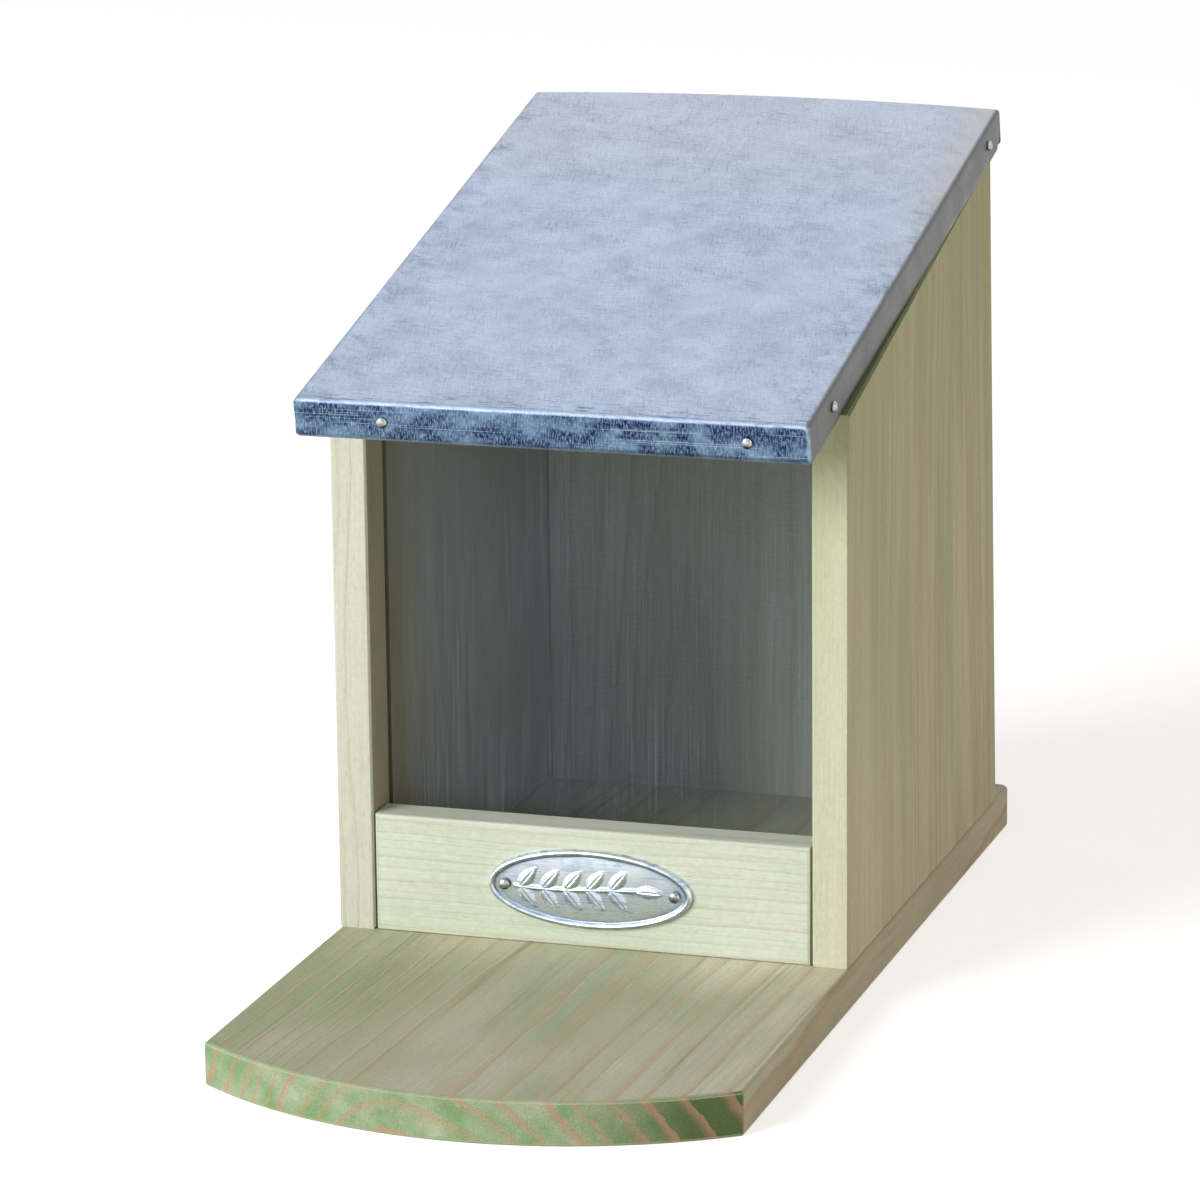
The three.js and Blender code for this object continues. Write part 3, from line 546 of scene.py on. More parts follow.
# Cast acrylic sheet, clear and hard: sharp reflections, fine upright rubs and a little dust on it
def clearAcrylic():
    material, add, place = newMaterial("clear_acrylic")
    wide, long = acrylic["scratchWidth"], acrylic["scratchLength"]
    upright = add("Mapping", {"Vector": place, "Scale": (1 / wide, 1 / wide, 1 / long)})
    rubs = add("TexNoise", {"Vector": upright, "Scale": 1.0, "Detail": 3.0})
    patches = add("TexNoise", {"Vector": place, "Scale": acrylic["patchesPerMetre"], "Detail": 2.0})
    specks = add("TexVoronoi", {"Vector": place, "Scale": 1 / acrylic["speckPitch"]})
    speckReach = add("MapRange", [
        specks.outputs["Color"], 0.55, 1.0, 0.0, 2 * acrylic["speckSize"] / acrylic["speckPitch"]])
    speckEdge = add("Math", [speckReach, specks.outputs["Distance"]], "SUBTRACT")
    rubShare = add("MapRange", [rubs, 0.52, 0.72, 0.0, acrylic["scratchStrength"]])
    patchShare = add("MapRange", [patches, 0.3, 0.7, 0.3])
    rubbed = add("Math", [rubShare, patchShare, acrylic["haze"]], "MULTIPLY_ADD")
    speckShare = add("MapRange", [speckEdge, 0.0, 0.03, 0.0, acrylic["speckStrength"]])
    dusted = add("Math", [rubbed, speckShare], "MAXIMUM")
    # The saw left the sheet's cut edges frosted
    cutEdge = add("Attribute", attribute_name="cutEdge")
    marked = add("Math", [cutEdge.outputs["Fac"], acrylic["edgeStrength"], dusted], "MULTIPLY_ADD")
    # Light goes straight through, unbent, so only the faces towards the viewer mirror the room. The
    # room is white all round, and a part of its image is left out to keep the inside clear.
    fresnel = add("Fresnel", {"IOR": acrylic["ior"]})
    faced = add("NewGeometry")
    towards = add("MapRange", [faced.outputs["Backfacing"], 0.0, 1.0, acrylic["mirrorShare"], 0.0])
    mirror = add("Math", [fresnel, towards], "MULTIPLY")
    opaque = add("Math", [mirror, marked], "ADD", use_clamp=True)
    mirrorPart = add("Math", [mirror, opaque], "DIVIDE")
    clear = add("BsdfTransparent", {"Color": acrylic["tint"]})
    roughness = add("MapRange", [rubs, 0.4, 0.7, 0.05, 0.3])
    # The dust and the mirrored room both take this pale blue: real dust, and a painted blue tint on the
    # reflection
    dustAndReflection = add("BsdfPrincipled", {
        "Base Color": acrylic["dustAndReflectionColour"], "Metallic": mirrorPart, "Roughness": roughness,
        "IOR": acrylic["ior"]})
    add("OutputMaterial", [add("MixShader", [opaque, clear, dustAndReflection])])
    return material


pane = {"node": "window_pane", "round": 0.12 * mm}


def makePane():
    shape = mergedCopy(pane["node"])
    bmesh.ops.bevel(shape, geom=shape.edges[:], offset=pane["round"], segments=2, affect="EDGES")
    cutLayer = shape.faces.layers.float.new("cutEdge")
    for face in shape.faces:
        face[cutLayer] = float(abs(face.normal.y) < 0.5)
    made = placePiece("clearPane", finishShape(shape, "clearPane"), clearAcrylic())
    dressNode(made, "box", "clear_acrylic", pane["node"])


makePane()
print("pane made")


# The folded roof

# The roof sheet in the frame: its ends along the slope, its half width, the level of its flat by the
# front fold, how far it bows above that at the rear, and how deep its lips are
def roofSizes():
    front, rear = reach("roof_cover", alongRoof)
    half = reach("roof_cover", acrossRoof)[1]
    lowest, highest = reach("roof_cover", outOfRoof)
    points = [vertex.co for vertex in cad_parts["roof_cover"].data.vertices]
    top = max(point.dot(outOfRoof) for point in points if point.dot(alongRoof) < front + 3 * mm)
    return front, rear, half, top, highest - top, top - lowest


zinc = {
    "pale": "#c5d4ea",
    "dull": "#b1c0d6",
    "scratch": "#7a8aa2",
    "glint": "#dbe5f2",
    "rub": "#4d5c74",
    "warm": "#c9c8c4",
    "lipLight": "#92b4d0",
    "lipDark": "#021d4c",
    "lipScratch": "#c3d6e8",
    # The side lips are painted this dark grey: painted shade, as on the right lip, which faces away from
    # the front lamp
    "sideLip": "#6f706c",
    "rearBloom": "#d2d8de",
    "mottle": 11 * mm,
    "smudge": 30 * mm,
    "grit": 0.5 * mm,
    "hatchWidth": 0.3 * mm,
    "hatchLength": 4.5 * mm,
    "hatchDegrees": (8, 78),
    "lipHatchDegrees": (-7, 36),
    "metallic": 0.6,
}


# Hot-dip galvanised steel sheet: satin metal with a pale blue-grey bloom, short crossed handling
# scratches, and a front lip rubbed down to darker metal. The finest scratches are drawn 0.3 mm
# wide, where real ones are about 0.1 mm, so that they show.
def galvanisedSheet():
    material, add, place = newMaterial("galvanised_sheet")
    front, rear, half, top, bow, depth = roofSizes()
    length = rear - front
    flat = add("Mapping", {
        "Vector": place, "Rotation": (-roofSlope, 0, 0), "Location": (0, -front, -top - bow)})
    x, y, z = add("SeparateXYZ", [flat]).outputs
    fromMiddle = add("Math", [x], "ABSOLUTE")

    # The sizes of each pattern's spots across, along and out of the roof, then detail, shift and turn
    mottle, smudge, grit = zinc["mottle"], zinc["smudge"], zinc["grit"]
    hatch = (zinc["hatchLength"], zinc["hatchWidth"], mm)
    lipHatch = (0.32 * mm, mm, 1.3 * mm)
    one, other = zinc["hatchDegrees"]
    lipOne, lipOther = zinc["lipHatchDegrees"]
    patterns = {
        "bloom": ((mottle, mottle, mottle), 5.0, 0.0),
        "patch": ((0.6 * mottle, 0.6 * mottle, 0.6 * mottle), 4.0, 17.0),
        "grit": ((grit, grit, grit), 2.0, 71.0),
        "hatchOne": (hatch, 2.0, 5.0 + one, (0, 0, one)),
        "hatchOther": (hatch, 2.0, 5.0 + other, (0, 0, other)),
        "smudge": ((smudge, 0.6 * smudge, smudge), 3.0, 83.0, (0, 0, 20)),
        "dashes": ((5 * mm, 0.6 * mm, mm), 2.0, 29.0),
        "scuffs": ((9 * mm, 5 * mm, mm), 6.0, 33.0, (0, 0, 40)),
        "lipPatch": ((8 * mm, 6 * mm, 6 * mm), 4.0, 43.0),
        "lipHatchOne": (lipHatch, 3.0, 51.0 + lipOne, (0, lipOne, 0)),
        "lipHatchOther": (lipHatch, 3.0, 51.0 + lipOther, (0, lipOther, 0)),
        "lipLines": ((70 * mm, mm, 0.2 * mm), 1.0, 61.0, (0, 0.4, 0)),
    }
    spots = {name: sizedNoise(add, flat, sizes, detail, shift, *turns, roughness=0.6)
             for name, (sizes, detail, shift, *turns) in patterns.items()}
    cloud = add("Math", [spots["smudge"], 2 / 3, spots["bloom"]], "MULTIPLY_ADD")

    # What each mark follows, where it starts and ends, and its least and most
    share = {name: add("MapRange", values) for name, values in {
        "clouded": (cloud, 2 / 3, 1.0),
        "atRear": (y, 0.6 * length, length, 0.0, 0.5),
        "patched": (spots["patch"], 0.38, 0.6, 0.25),
        "smudged": (spots["smudge"], 0.38, 0.64, 0.35),
        "darkOne": (spots["hatchOne"], 0.54, 0.72),
        "darkOther": (spots["hatchOther"], 0.56, 0.74),
        "brightOne": (spots["hatchOne"], 0.44, 0.28, 0.0, 0.5),
        "brightOther": (spots["hatchOther"], 0.44, 0.28, 0.0, 0.5),
        "gritty": (spots["grit"], 0.5, 0.72, 0.0, 0.45),
        # Rubbed marks behind the front fold and by the side folds, a dark line in places along the
        # left fold, and a dull warm band by the rear of the right fold
        "behindFold": (y, 2 * mm, 8 * mm, 0.7, 0.0),
        "dashed": (spots["dashes"], 0.56, 0.66),
        "nearSide": (fromMiddle, half - 14 * mm, half - 2 * mm, 0.0, 0.7),
        "scuffed": (spots["scuffs"], 0.5, 0.68),
        "leftFold": (x, 1.6 * mm - half, 0.7 * mm - half, 0.0, 0.7),
        "foldPatch": (spots["patch"], 0.42, 0.56, 0.1, 0.9),
        "nearRight": (x, half - 10 * mm, half - 2 * mm),
        "nearRear": (y, 0.4 * length, 0.85 * length),
        "warmPatch": (spots["patch"], 0.3, 0.6, 0.3, 0.9),
        # The front lip: dark worn patches, crossed hatching, a few long bright scratches, and cut edges
        # painted light, part bare metal and part painted highlight
        "lipPatched": (spots["lipPatch"], 0.36, 0.56, 0.45),
        "lipHatchOne": (spots["lipHatchOne"], 0.32, 0.54, 0.2),
        "lipHatchOther": (spots["lipHatchOther"], 0.46, 0.62),
        "lipLines": (spots["lipLines"], 0.66, 0.71, 0.0, 0.8),
        "bareFoot": (z, 0.55 * mm - depth - bow, 0.25 * mm - depth - bow, 0.0, 0.35),
        "bareEnd": (x, half - 0.8 * mm, half - 0.5 * mm, 0.0, 0.35),
        "atFront": (y, 0.7 * mm, 1.3 * mm, 1.0, 0.0),
        "belowFold": (z, -1.1 * mm - bow, -0.6 * mm - bow, 1.0, 0.0),
        "aboveFold": (z, -1.1 * mm - bow, -0.6 * mm - bow),
        # Where the side lips take their painted shade
        "onSideLip": (fromMiddle, half - 0.9 * mm, half - 0.3 * mm),
        "sideGrit": (spots["grit"], 0.4, 0.7, 0.0, 0.5),
    }.items()}
    for joined, operation, first, *others in (
            ("dark", "MAXIMUM", "darkOne", "darkOther"),
            ("bright", "MAXIMUM", "brightOne", "brightOther"),
            ("scratched", "MULTIPLY", "dark", "patched", "smudged"),
            ("roughened", "ADD", "dark", 0.5),
            ("scuffing", "MULTIPLY", "nearSide", "scuffed", "roughened"),
            ("dashing", "MULTIPLY", "behindFold", "dashed"),
            ("foldLine", "MULTIPLY", "leftFold", "foldPatch"),
            ("rubbed", "MAXIMUM", "dashing", "scuffing", "foldLine"),
            ("warmed", "MULTIPLY", "nearRight", "nearRear", "warmPatch"),
            ("lipHatched", "MAXIMUM", "lipHatchOne", "lipHatchOther"),
            ("lipWorn", "MULTIPLY", "lipPatched", "lipHatched"),
            ("lipBright", "MAXIMUM", "lipLines", "bareFoot", "bareEnd"),
            ("onFrontLip", "MULTIPLY", "atFront", "belowFold"),
            ("onFold", "MULTIPLY", "atFront", "aboveFold"),
            ("foldDark", "MULTIPLY", "onFold", 0.55),
            ("foldRough", "MULTIPLY", "onFold", 0.54)):
        share[joined] = share[first]
        for other in others:
            share[joined] = add("Math", [share[joined], share.get(other, other)], operation)

    # The colours of the two lips and the whole sheet, each laid over the one before by its share
    painted = dict(zinc)
    for zone, ground, *layers in (
            ("lip", "lipLight", ("lipWorn", "lipDark"), ("lipBright", "lipScratch")),
            # The side lips' dark grey is painted shade
            ("side", "sideLip", ("sideGrit", "rub")),
            ("sheet", "pale", ("clouded", "dull"), ("atRear", "rearBloom"), ("scratched", "scratch"),
             ("bright", "glint"), ("gritty", "scratch"), ("rubbed", "rub"), ("warmed", "warm"),
             ("onSideLip", "side"), ("foldDark", "scratch"), ("onFrontLip", "lip"))):
        painted[zone] = painted[ground]
        for amount, colour in layers:
            painted[zone] = add("MixRGB", [share[amount], painted[zone], painted[colour]])

    worn = add("Math", [share["dark"], 0.3, spots["bloom"]], "MULTIPLY_ADD")
    satin = add("MapRange", [worn, 0.35, 0.9, 0.38, 0.6])
    roughness = add("Math", [satin, share["foldRough"]], "MAXIMUM")
    height = add("Math", [share["dark"], -4 / 3, spots["grit"]], "MULTIPLY_ADD")
    bump = add("Bump", {"Height": height, "Strength": 0.5, "Distance": 0.03 * mm})
    surface = add("BsdfPrincipled", {
        "Base Color": painted["sheet"], "Metallic": zinc["metallic"], "Roughness": roughness,
        "Normal": bump})
    add("OutputMaterial", [surface])
    return material


# Small sizes of the pan: the frame gives its length, width, depth and bow
pan = {
    "sheet": 0.6 * mm,
    "fold": 1.3 * mm,
    "foldSteps": 5,
    "lipSteps": 6,
    "acrossSteps": 44,
    "alongSteps": 68,
    "tuck": 0.85 * mm,
    "tuckOver": 0.5 * mm,
    "cornerRadius": 0.8 * mm,
    "snip": 2.5 * mm,
    "splay": 0.7 * mm,
    "splayReach": 9 * mm,
    "flatFrom": 12 * mm,
    "waviness": 0.14 * mm,
    "waveSize": 38 * mm,
    "waveShift": Vector((5, 5, 5)),
    "waveLevel": 0.35,
}


# One fold's run from the lip's free edge to the flat: how far out it lies and how far below the top
def foldRun(depth):
    fold, steps = pan["fold"], pan["foldSteps"]
    lip = [(0.0, depth - (depth - fold) * step / pan["lipSteps"]) for step in range(pan["lipSteps"])]
    turns = [math.pi / 2 * step / steps for step in range(steps + 1)]
    bend = [(fold - fold * math.cos(turn), fold - fold * math.sin(turn)) for turn in turns]
    return lip + bend


def makePan():
    front, rear, half, top, bow, depth = roofSizes()
    run = foldRun(depth)
    fold, lipRows, tuck, radius = (pan[key] for key in ("fold", "lipSteps", "tuck", "cornerRadius"))
    lipDepth = depth - fold

    # The stations along one direction, as place and drop below the top, from one lip to the other
    def stations(low, high, steps):
        inner = [low + fold + (high - low - 2 * fold) * step / steps for step in range(1, steps)]
        start = [(low + out, drop) for out, drop in run]
        end = [(high - out, drop) for out, drop in reversed(run)]
        return start + [(place, 0.0) for place in inner] + end

    # How much shorter than its full depth a lip is at a place: rounded or snipped at a corner
    def roundedBy(x):
        into = abs(x) - half + radius
        return radius - math.sqrt(radius ** 2 - into ** 2) if into > 0 else 0.0

    def snippedBy(y):
        return max(0.0, pan["snip"] - (rear - tuck - y))

    across = stations(-half, half, pan["acrossSteps"])
    along = stations(front, rear, pan["alongSteps"])

    def isLip(index, count):
        return index < lipRows or index >= count - lipRows

    vertices, index = [], {}
    for i, (x, dropX) in enumerate(across):
        for j, (y, dropY) in enumerate(along):
            sideLip, endLip = isLip(i, len(across)), isLip(j, len(along))
            if sideLip and endLip:
                continue
            drop, out = max(dropX, dropY), 0.0
            lipShare = (drop - fold) / lipDepth
            if sideLip:
                # Side lips stop short of the end lips, and the left one's front corner has sprung out
                tucked = tuck * min(1.0, (drop - fold) / pan["tuckOver"])
                y = min(max(y, front + tucked), rear - tucked)
                drop = min(drop, fold + lipShare * (lipDepth - snippedBy(y)))
                if x < 0:
                    nearFront = max(0.0, 1 - (y - front) / pan["splayReach"])
                    out = -pan["splay"] * nearFront ** 2 * (drop - fold) / lipDepth
            elif endLip:
                drop = fold + lipShare * (lipDepth - roundedBy(x))
            fromEdge = min(half - abs(x), y - front, rear - y)
            flatShare = max(0.0, min(1.0, fromEdge / pan["flatFrom"]))
            wave = noise.noise(Vector((x, y, 3 * mm)) / pan["waveSize"] + pan["waveShift"])
            bowShare = (1 - (x / half) ** 2) * (y - front) / (rear - front)
            lift = pan["waviness"] * (wave - pan["waveLevel"]) * flatShare
            lift += bow * bowShare * min(1.0, (depth - drop) / lipDepth)
            index[i, j] = len(vertices)
            vertices.append(acrossRoof * (x + out) + alongRoof * y + outOfRoof * (top - drop + lift))

    faces = []
    for i, j in index:
        corners = [(i, j), (i + 1, j), (i + 1, j + 1), (i, j + 1)]
        if all(corner in index for corner in corners):
            faces.append([index[corner] for corner in corners])

    mesh = bpy.data.meshes.new("roofPan")
    mesh.from_pydata(vertices, [], faces)
    shape = bmesh.new()
    shape.from_mesh(mesh)
    bmesh.ops.remove_doubles(shape, verts=shape.verts, dist=0.01 * mm)
    bmesh.ops.dissolve_degenerate(shape, edges=shape.edges, dist=0.01 * mm)
    made = placePiece("roofPan", finishShape(shape, "roofPan"), galvanisedSheet(), sharpAngle=60)
    solid = made.modifiers.new("sheet", "SOLIDIFY")
    solid.thickness, solid.offset, solid.use_even_offset = pan["sheet"], -1.0, True
    dressNode(made, "lid", "galvanised_sheet", "roof_cover")


makePan()
print("roof pan made")


# Bright metal

# Each metal's downShade is how dark its down-turned faces are painted: painted shade
metals = {
    "nailSteel": {
        # Bright drawn steel, domed by the die: shiny, with fine turning marks
        "light": "#c6c8ca", "dark": "#7d8186", "metallic": 1.0, "rough": (0.14, 0.28), "mark": 0.5 * mm,
        "downShade": 0.9},
    "zincPlatedSteel": {
        # Zinc-plated pressed steel: satin, faintly blue, with rubbed patches
        "light": "#c3c7cb", "dark": "#969ba2", "metallic": 1.0, "rough": (0.3, 0.48), "mark": 1.6 * mm,
        "downShade": 0.0},
    "pressedTin": {
        # Tinned sheet pressed cold: bright and a little uneven, with fine wipe marks
        "light": "#e2ebf4", "dark": "#a6b8cc", "metallic": 1.0, "rough": (0.26, 0.44), "mark": 2.5 * mm,
        "downShade": 0.35},
}


def brightMetal(name):
    metal = metals[name]
    material, add, place = newMaterial(name)
    mark = metal["mark"]
    cloud = add("TexNoise", {"Vector": place, "Scale": 1 / mark, "Detail": 3.0})
    wiped = add("Mapping", {
        "Vector": place, "Rotation": (0, math.radians(24), 0),
        "Scale": (1 / (8 * mark), 1 / mark, 8 / mark)})
    wipes = add("TexNoise", {"Vector": wiped, "Scale": 1.0, "Detail": 2.0})
    both = add("Math", [cloud, wipes], "MULTIPLY")
    share = add("MapRange", [both, 0.2, 0.38])
    # The plate's hollows are painted darker: part patina, part painted shade
    patinaAndShade = add("Attribute", attribute_name="patinaAndShade")
    marksPatinaAndShade = add("Math", [share, patinaAndShade.outputs["Fac"]], "MAXIMUM")
    polished = add("MixRGB", [marksPatinaAndShade, metal["light"], metal["dark"]])
    # Faces that turn down are painted dark: painted shade
    facing = add("SeparateXYZ", [add("NewGeometry").outputs["Normal"]])
    downShadeShare = add("MapRange", [facing.outputs["Z"], -0.05, -0.6, 0.0, metal["downShade"]])
    colour = add("MixRGB", [downShadeShare, polished, "#1f2226"])
    roughness = add("MapRange", [both, 0.15, 0.4, *metal["rough"]])
    bump = add("Bump", {"Height": wipes, "Strength": 0.2, "Distance": 0.02 * mm})
    surface = add("BsdfPrincipled", {
        "Base Color": colour, "Metallic": metal["metallic"], "Roughness": roughness, "Normal": bump})
    add("OutputMaterial", [surface])
    return material


nailSteel = brightMetal("nailSteel")
platedSteel = brightMetal("zincPlatedSteel")
pressedTin = brightMetal("pressedTin")


# The pressed name plate

plate = {
    "node": "name_plate",
    "sheet": 0.5 * mm,
    "rim": 1.75 * mm,
    "rimHeight": 0.75 * mm,
    "rollReach": 0.92,
    "crown": 0.3 * mm,
    "dent": 0.05 * mm,
    "dentSize": 5 * mm,
    "turns": 300,
    "rimRings": 14,
    "fieldRings": 70,
    "leafHeight": 0.5 * mm,
    "leafLength": 6.0 * mm,
    "leafWidth": 2.9 * mm,
    "leafDegrees": 50,
    "creaseDepth": 0.35,
    "creaseWidth": 0.16 * mm,
    "leafPlaces": [-0.74, -0.5, -0.26, -0.02, 0.22],
    "stemReach": 0.5,
    "stemHeight": 0.9,
    "stemWidth": 0.4 * mm,
    "stemSway": 0.5 * mm,
}


# Height of one pressed leaf over its own axes: rounded in section, creased along its middle
def leafHeight(along, across):
    length, width = plate["leafLength"], plate["leafWidth"]
    if not 0 < along < length:
        return 0.0
    share = along / length
    halfWidth = width / 2 * math.sin(math.pi * share ** 0.8) ** 0.8
    inside = abs(across) / max(halfWidth, 1e-6)
    if inside >= 1:
        return 0.0
    rise = math.sqrt(1 - inside * inside)
    crease = plate["creaseDepth"] * math.exp(-(across / plate["creaseWidth"]) ** 2)
    return plate["leafHeight"] * max(0.0, rise - crease)


def sprigHeight(x, z, reachX):
    stemLine = plate["stemSway"] * math.sin(math.pi * x / reachX)
    stemFrom, stemTo = 1.05 * plate["leafPlaces"][0] * reachX, plate["stemReach"] * reachX
    ends = smoothStep(stemFrom - mm, stemFrom + mm, x) * smoothStep(stemTo + mm, stemTo - mm, x)
    offStem = (z - stemLine) / plate["stemWidth"]
    highest = plate["leafHeight"] * plate["stemHeight"] * ends * math.exp(-offStem * offStem)
    for share in plate["leafPlaces"]:
        footX = share * reachX
        footZ = plate["stemSway"] * math.sin(math.pi * share)
        for side in (-1, 1):
            turn = math.radians(side * plate["leafDegrees"])
            dx, dz = x - footX, z - footZ
            along = dx * math.cos(turn) + dz * math.sin(turn)
            across = dz * math.cos(turn) - dx * math.sin(turn)
            highest = max(highest, leafHeight(along, across))
    endAlong = x - plate["stemReach"] * reachX
    return max(highest, leafHeight(endAlong, z - stemLine))


def makePlate():
    low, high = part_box(plate["node"])
    halfX, halfZ = (high.x - low.x) / 2, (high.z - low.z) / 2
    midX, midZ = (high.x + low.x) / 2, (high.z + low.z) / 2
    backY = high.y
    rim, turns = plate["rim"], plate["turns"]
    fieldReach = halfX - rim

    # Rings from the sheet's edge over the rolled rim to the field's middle
    rings = [("rim", step / plate["rimRings"]) for step in range(plate["rimRings"] + 1)]
    rings += [("field", step / plate["fieldRings"]) for step in range(1, plate["fieldRings"])]
    # How much darker each point is painted: patina in the hollows and painted shade at the rim's foot,
    # the field's edge and the feet of the leaves
    vertices, dull = [], []
    for zone, share in rings:
        for step in range(turns):
            angle = 2 * math.pi * step / turns
            edgeX, edgeZ = halfX * math.cos(angle), halfZ * math.sin(angle)
            normal = Vector((edgeX / halfX ** 2, edgeZ / halfZ ** 2)).normalized()
            inset = rim * (share if zone == "rim" else 1.0)
            x, z = edgeX - inset * normal.x, edgeZ - inset * normal.y
            if zone == "rim":
                rollShare = min(1.0, share / plate["rollReach"])
                roll = max(0.0, math.sin(math.pi * rollShare)) ** 0.75
                height = plate["sheet"] + plate["rimHeight"] * roll if share else 0.0
                patinaAndShade = smoothStep(0.72, 0.95, share)
            else:
                scale = 1 - share
                x, z = x * scale, z * scale
                crown = plate["crown"] * (1 - scale * scale)
                relief = sprigHeight(x, z, fieldReach)
                dent = plate["dent"] * noise.noise(Vector((x, z, 0)) / plate["dentSize"])
                height = plate["sheet"] + crown + relief + dent
                patinaAndShade = 0.75 * smoothStep(0.12, 0.0, share)
                patinaAndShade += 0.5 * smoothStep(0.01 * mm, 0.08 * mm, relief)
                patinaAndShade -= 0.5 * smoothStep(0.08 * mm, 0.26 * mm, relief)
            vertices.append((midX + x, backY - height, midZ + z))
            dull.append(max(0.0, patinaAndShade))
    middle = len(vertices)
    vertices.append((midX, backY - plate["sheet"] - plate["crown"] - sprigHeight(0, 0, fieldReach), midZ))
    dull.append(0.0)
    faces = []
    for ring in range(len(rings) - 1):
        for step in range(turns):
            a, b = ring * turns + step, ring * turns + (step + 1) % turns
            faces.append((a, b, b + turns, a + turns))
    last = (len(rings) - 1) * turns
    faces += [(last + step, last + (step + 1) % turns, middle) for step in range(turns)]
    faces.append(tuple(reversed(range(turns))))
    mesh = bpy.data.meshes.new("namePlate")
    mesh.from_pydata(vertices, [], faces)
    mesh.attributes.new("patinaAndShade", "FLOAT", "POINT").data.foreach_set("value", dull)
    made = placePiece("namePlate", mesh, pressedTin, sharpAngle=70)
    dressNode(made, "box", "pressed_plate", plate["node"])


makePlate()
print("name plate made")


# Nails and screws, set by Geometry Nodes on the places that the frame gives

# A closed body turned round Z from a profile of radius and height, top to bottom, both on the axis
def turnedMesh(name, profile, steps):
    shape = bmesh.new()
    turns = [2 * math.pi * step / steps for step in range(steps)]
    rings = [[shape.verts.new((radius * math.cos(turn), radius * math.sin(turn), height))
              for turn in (turns if radius else turns[:1])] for radius, height in profile]
    for upper, lower in zip(rings, rings[1:]):
        for step in range(steps):
            follow = (step + 1) % steps
            corners = [upper[step % len(upper)], upper[follow % len(upper)],
                       lower[follow % len(lower)], lower[step % len(lower)]]
            shape.faces.new(list(dict.fromkeys(corners)))
    bmesh.ops.recalc_face_normals(shape, faces=shape.faces)
    return finishShape(shape, name)


def nailMesh(name, look):
    head, height, shank, length = (look[key] for key in ("head", "headHeight", "shank", "length"))
    domeSteps = 7
    turns = [math.pi / 2 * step / domeSteps for step in range(domeSteps)]
    dome = [(head * math.sin(turn), height * math.cos(turn)) for turn in turns]
    rim = [(head, 0.12 * height), (0.94 * head, 0)]
    return turnedMesh(name, [*dome, *rim, (shank, 0), (shank, shank - length), (0, -length)], steps=28)


# A countersunk screw: its head's face is pressed down in a cross where the driver goes
def screwMesh(name, look):
    head, height, shank, length = (look[key] for key in ("head", "headHeight", "shank", "length"))
    rings, steps = 12, 48
    face = [(head * step / rings, 0) for step in range(rings + 1)]
    profile = [*face, (head, -0.1 * height), (shank, -height), (shank, 2 * shank - length), (0, -length)]
    mesh = turnedMesh(name, profile, steps)
    arm, wall, deep = 0.62 * head, 0.15 * head, 0.55 * height
    for vertex in mesh.vertices:
        if vertex.co.z > -0.01 * mm:
            x, y = abs(vertex.co.x), abs(vertex.co.y)
            near, far = min(x, y), max(x, y)
            inCross = smoothStep(1.5 * wall, 0.6 * wall, near) * smoothStep(1.1 * arm, 0.85 * arm, far)
            vertex.co.z -= deep * inCross * (1 - 0.5 * far / head)
    return mesh


# The tree that repeats a fastener: one on each point, turned to the point's heading and about itself
def fastenerTree():
    tree = bpy.data.node_groups.new("fasteners", "GeometryNodeTree")
    inputs = {"Geometry": ("Geometry", None), "Fastener": ("Object", None), "Size": ("Float", 1.0),
              "Lean Degrees": ("Float", 2.0), "Seed": ("Int", 4), "Material": ("Material", None)}
    for name, (kind, usual) in inputs.items():
        socket = tree.interface.new_socket(name, in_out="INPUT", socket_type="NodeSocket" + kind)
        if usual is not None:
            socket.default_value = usual
    tree.interface.new_socket("Geometry", in_out="OUTPUT", socket_type="NodeSocketGeometry")
    add = partial(addNode, tree)
    given = add("NodeGroupInput")
    heading = add("GeometryNodeInputNamedAttribute", {"Name": "heading"}, data_type="FLOAT_VECTOR")
    outwards = add("FunctionNodeAlignRotationToVector", {"Vector": heading}, axis="Z")
    leanMost = add("Math", [given.outputs["Lean Degrees"], math.radians(1)], "MULTIPLY")
    leanLeast = add("Math", [leanMost, -1.0], "MULTIPLY")
    most = add("CombineXYZ", [leanMost, leanMost, math.pi])
    least = add("CombineXYZ", [leanLeast, leanLeast, -math.pi])
    lean = add("FunctionNodeRandomValue", {
        "Min": least, "Max": most, "Seed": given.outputs["Seed"]}, data_type="FLOAT_VECTOR")
    spun = add("FunctionNodeRotateRotation", {
        "Rotation": outwards, "Rotate By": lean.outputs["Value"]}, rotation_space="LOCAL")
    shape = add("GeometryNodeObjectInfo", {"Object": given.outputs["Fastener"]})
    placed = add("GeometryNodeInstanceOnPoints", {
        "Points": given.outputs["Geometry"], "Instance": shape.outputs["Geometry"], "Rotation": spun,
        "Scale": given.outputs["Size"]})
    real = add("GeometryNodeRealizeInstances", {"Geometry": placed})
    finished = add("GeometryNodeSetMaterial", {"Geometry": real, "Material": given.outputs["Material"]})
    add("NodeGroupOutput", {"Geometry": finished})
    return tree


fasteners = fastenerTree()


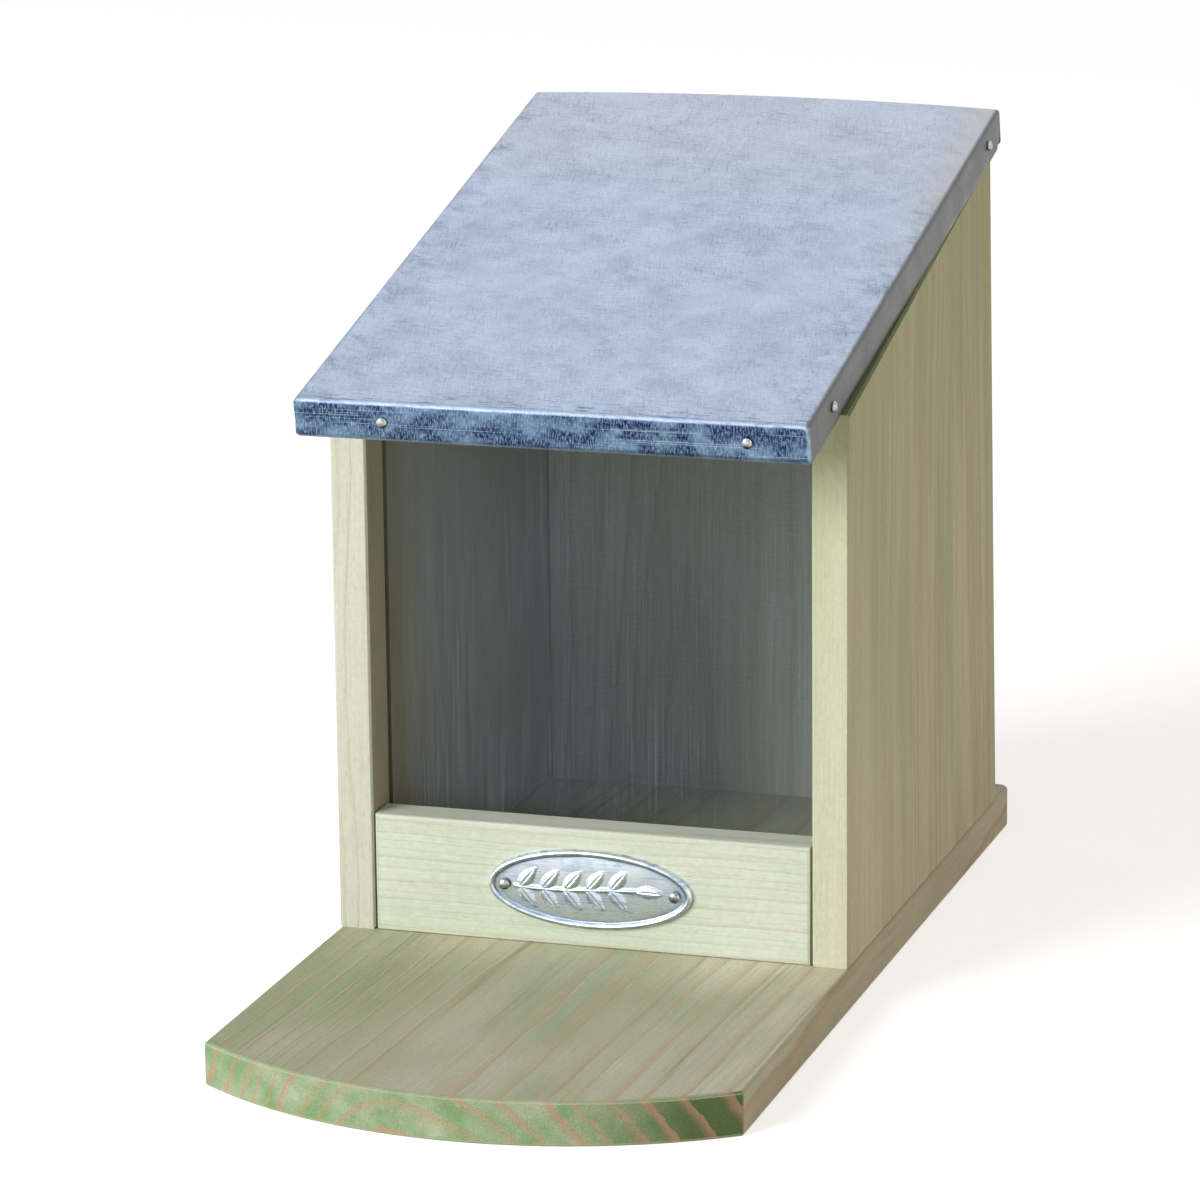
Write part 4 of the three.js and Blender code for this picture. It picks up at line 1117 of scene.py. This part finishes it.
def setFasteners(name, template, places, material, leanDegrees, seed):
    holder = bpy.data.objects.new(name + "Template", template)
    points = bpy.data.meshes.new(name + "Points")
    points.from_pydata([place for place, _ in places], [], [])
    headings = [part for _, heading in places for part in heading]
    points.attributes.new("heading", "FLOAT_VECTOR", "POINT").data.foreach_set("vector", headings)
    carrier = bpy.data.objects.new(name + "Carrier", points)
    bpy.context.scene.collection.objects.link(carrier)
    modifier = carrier.modifiers.new("fasteners", "NODES")
    modifier.node_group = fasteners
    values = {"Fastener": holder, "Size": 1.0, "Lean Degrees": leanDegrees, "Seed": seed,
              "Material": material}
    for item in fasteners.interface.items_tree:
        if item.in_out == "INPUT" and item.name in values:
            modifier[item.identifier] = values[item.name]
    graph = bpy.context.evaluated_depsgraph_get()
    mesh = bpy.data.meshes.new_from_object(carrier.evaluated_get(graph), depsgraph=graph)
    bpy.data.objects.remove(carrier)
    bpy.data.objects.remove(holder)
    return placePiece(name, mesh, None, sharpAngle=40)


# Where a fastener's node has its head: the middle of its box, moved out along its heading to the
# head's outer face. The frame's nodes give the places, and only the headings are named here.
def headPlace(node, heading, above):
    low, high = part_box(node)
    middle = (low + high) / 2
    furthest = reach(node, heading)[1]
    return middle + heading * (furthest - middle.dot(heading) - above)


nail = {"slot": "nail_steel", "kind": nailMesh, "material": nailSteel, "lean": 3.0, "head": 1.32 * mm}
screw = {"slot": "plated_steel", "kind": screwMesh, "material": platedSteel, "lean": 0.0, "above": 0.0}
hingeScrew = {**screw, "head": 2.1 * mm, "headHeight": 0.9 * mm, "shank": 1.1 * mm}
fastenerSets = {
    "roofNails": {
        **nail, "body": "lid", "seed": 3, "headHeight": 0.8 * mm, "shank": 0.7 * mm,
        "length": 7.5 * mm, "above": 0.8 * mm,
        "nodes": {
            "roof_nail_front_left": -alongRoof, "roof_nail_front_right": -alongRoof,
            "roof_nail_left_front": -acrossRoof, "roof_nail_left_rear": -acrossRoof,
            "roof_nail_right_front": acrossRoof, "roof_nail_right_rear": acrossRoof}},
    "plateNails": {
        **nail, "body": "box", "seed": 8, "headHeight": 0.75 * mm, "shank": 0.6 * mm,
        "length": 6.8 * mm, "above": 0.7 * mm,
        "nodes": {"plate_nail_left": -axes["Y"], "plate_nail_right": -axes["Y"]}},
    "baseScrews": {
        **screw, "body": "box", "seed": 5, "head": 3.2 * mm, "headHeight": 2.2 * mm,
        "shank": 1.5 * mm, "length": 24.5 * mm,
        "nodes": {name: -axes["Z"] for name in (
            "left_panel_screw_front", "left_panel_screw_rear", "right_panel_screw_front",
            "right_panel_screw_rear", "rail_screw_left", "rail_screw_right",
            "back_screw_left", "back_screw_right")}},
    "hingeBoxScrews": {
        **hingeScrew, "body": "box", "seed": 6, "length": 10 * mm,
        "nodes": {f"{side}_hinge_box_screw_{place}": outOfRoof
                  for side in ("left", "right") for place in ("inner", "outer")}},
    "hingeLidScrews": {
        **hingeScrew, "body": "lid", "seed": 9, "length": 7 * mm,
        "nodes": {f"{side}_hinge_lid_screw_{place}": -outOfRoof
                  for side in ("left", "right") for place in ("inner", "outer")}},
}

for setName, spec in fastenerSets.items():
    template = spec["kind"](setName + "Shape", spec)
    places = [(headPlace(node, heading, spec["above"]), heading)
              for node, heading in spec["nodes"].items()]
    made = setFasteners(setName, template, places, spec["material"], spec["lean"], spec["seed"])
    dressNode(made, spec["body"], spec["slot"], *spec["nodes"])
print("nails and screws set")


# The hinges keep their CAD shape, with the sheet's edges broken and the curls smooth

hinge = {
    "round": 0.12 * mm,
    "parts": {"BoxLeaf": ("box_leaf", "box"), "LidLeaf": ("lid_leaf", "lid"), "Pin": ("pin", "box")},
}


def makeHingePiece(name, node, body):
    shape = mergedCopy(node)
    roundEdges(shape, hinge["round"], longerThan=0.5 * mm, sharperThan=50, segments=1)
    made = placePiece(name, finishShape(shape, name), platedSteel, sharpAngle=40)
    dressNode(made, body, "plated_steel", node)


for partName, (ending, bodyName) in hinge["parts"].items():
    for side in ("left", "right"):
        makeHingePiece(side + "Hinge" + partName, f"{side}_hinge_{ending}", bodyName)
print("hinges made")


bpy.context.scene.view_settings.view_transform = "Standard"
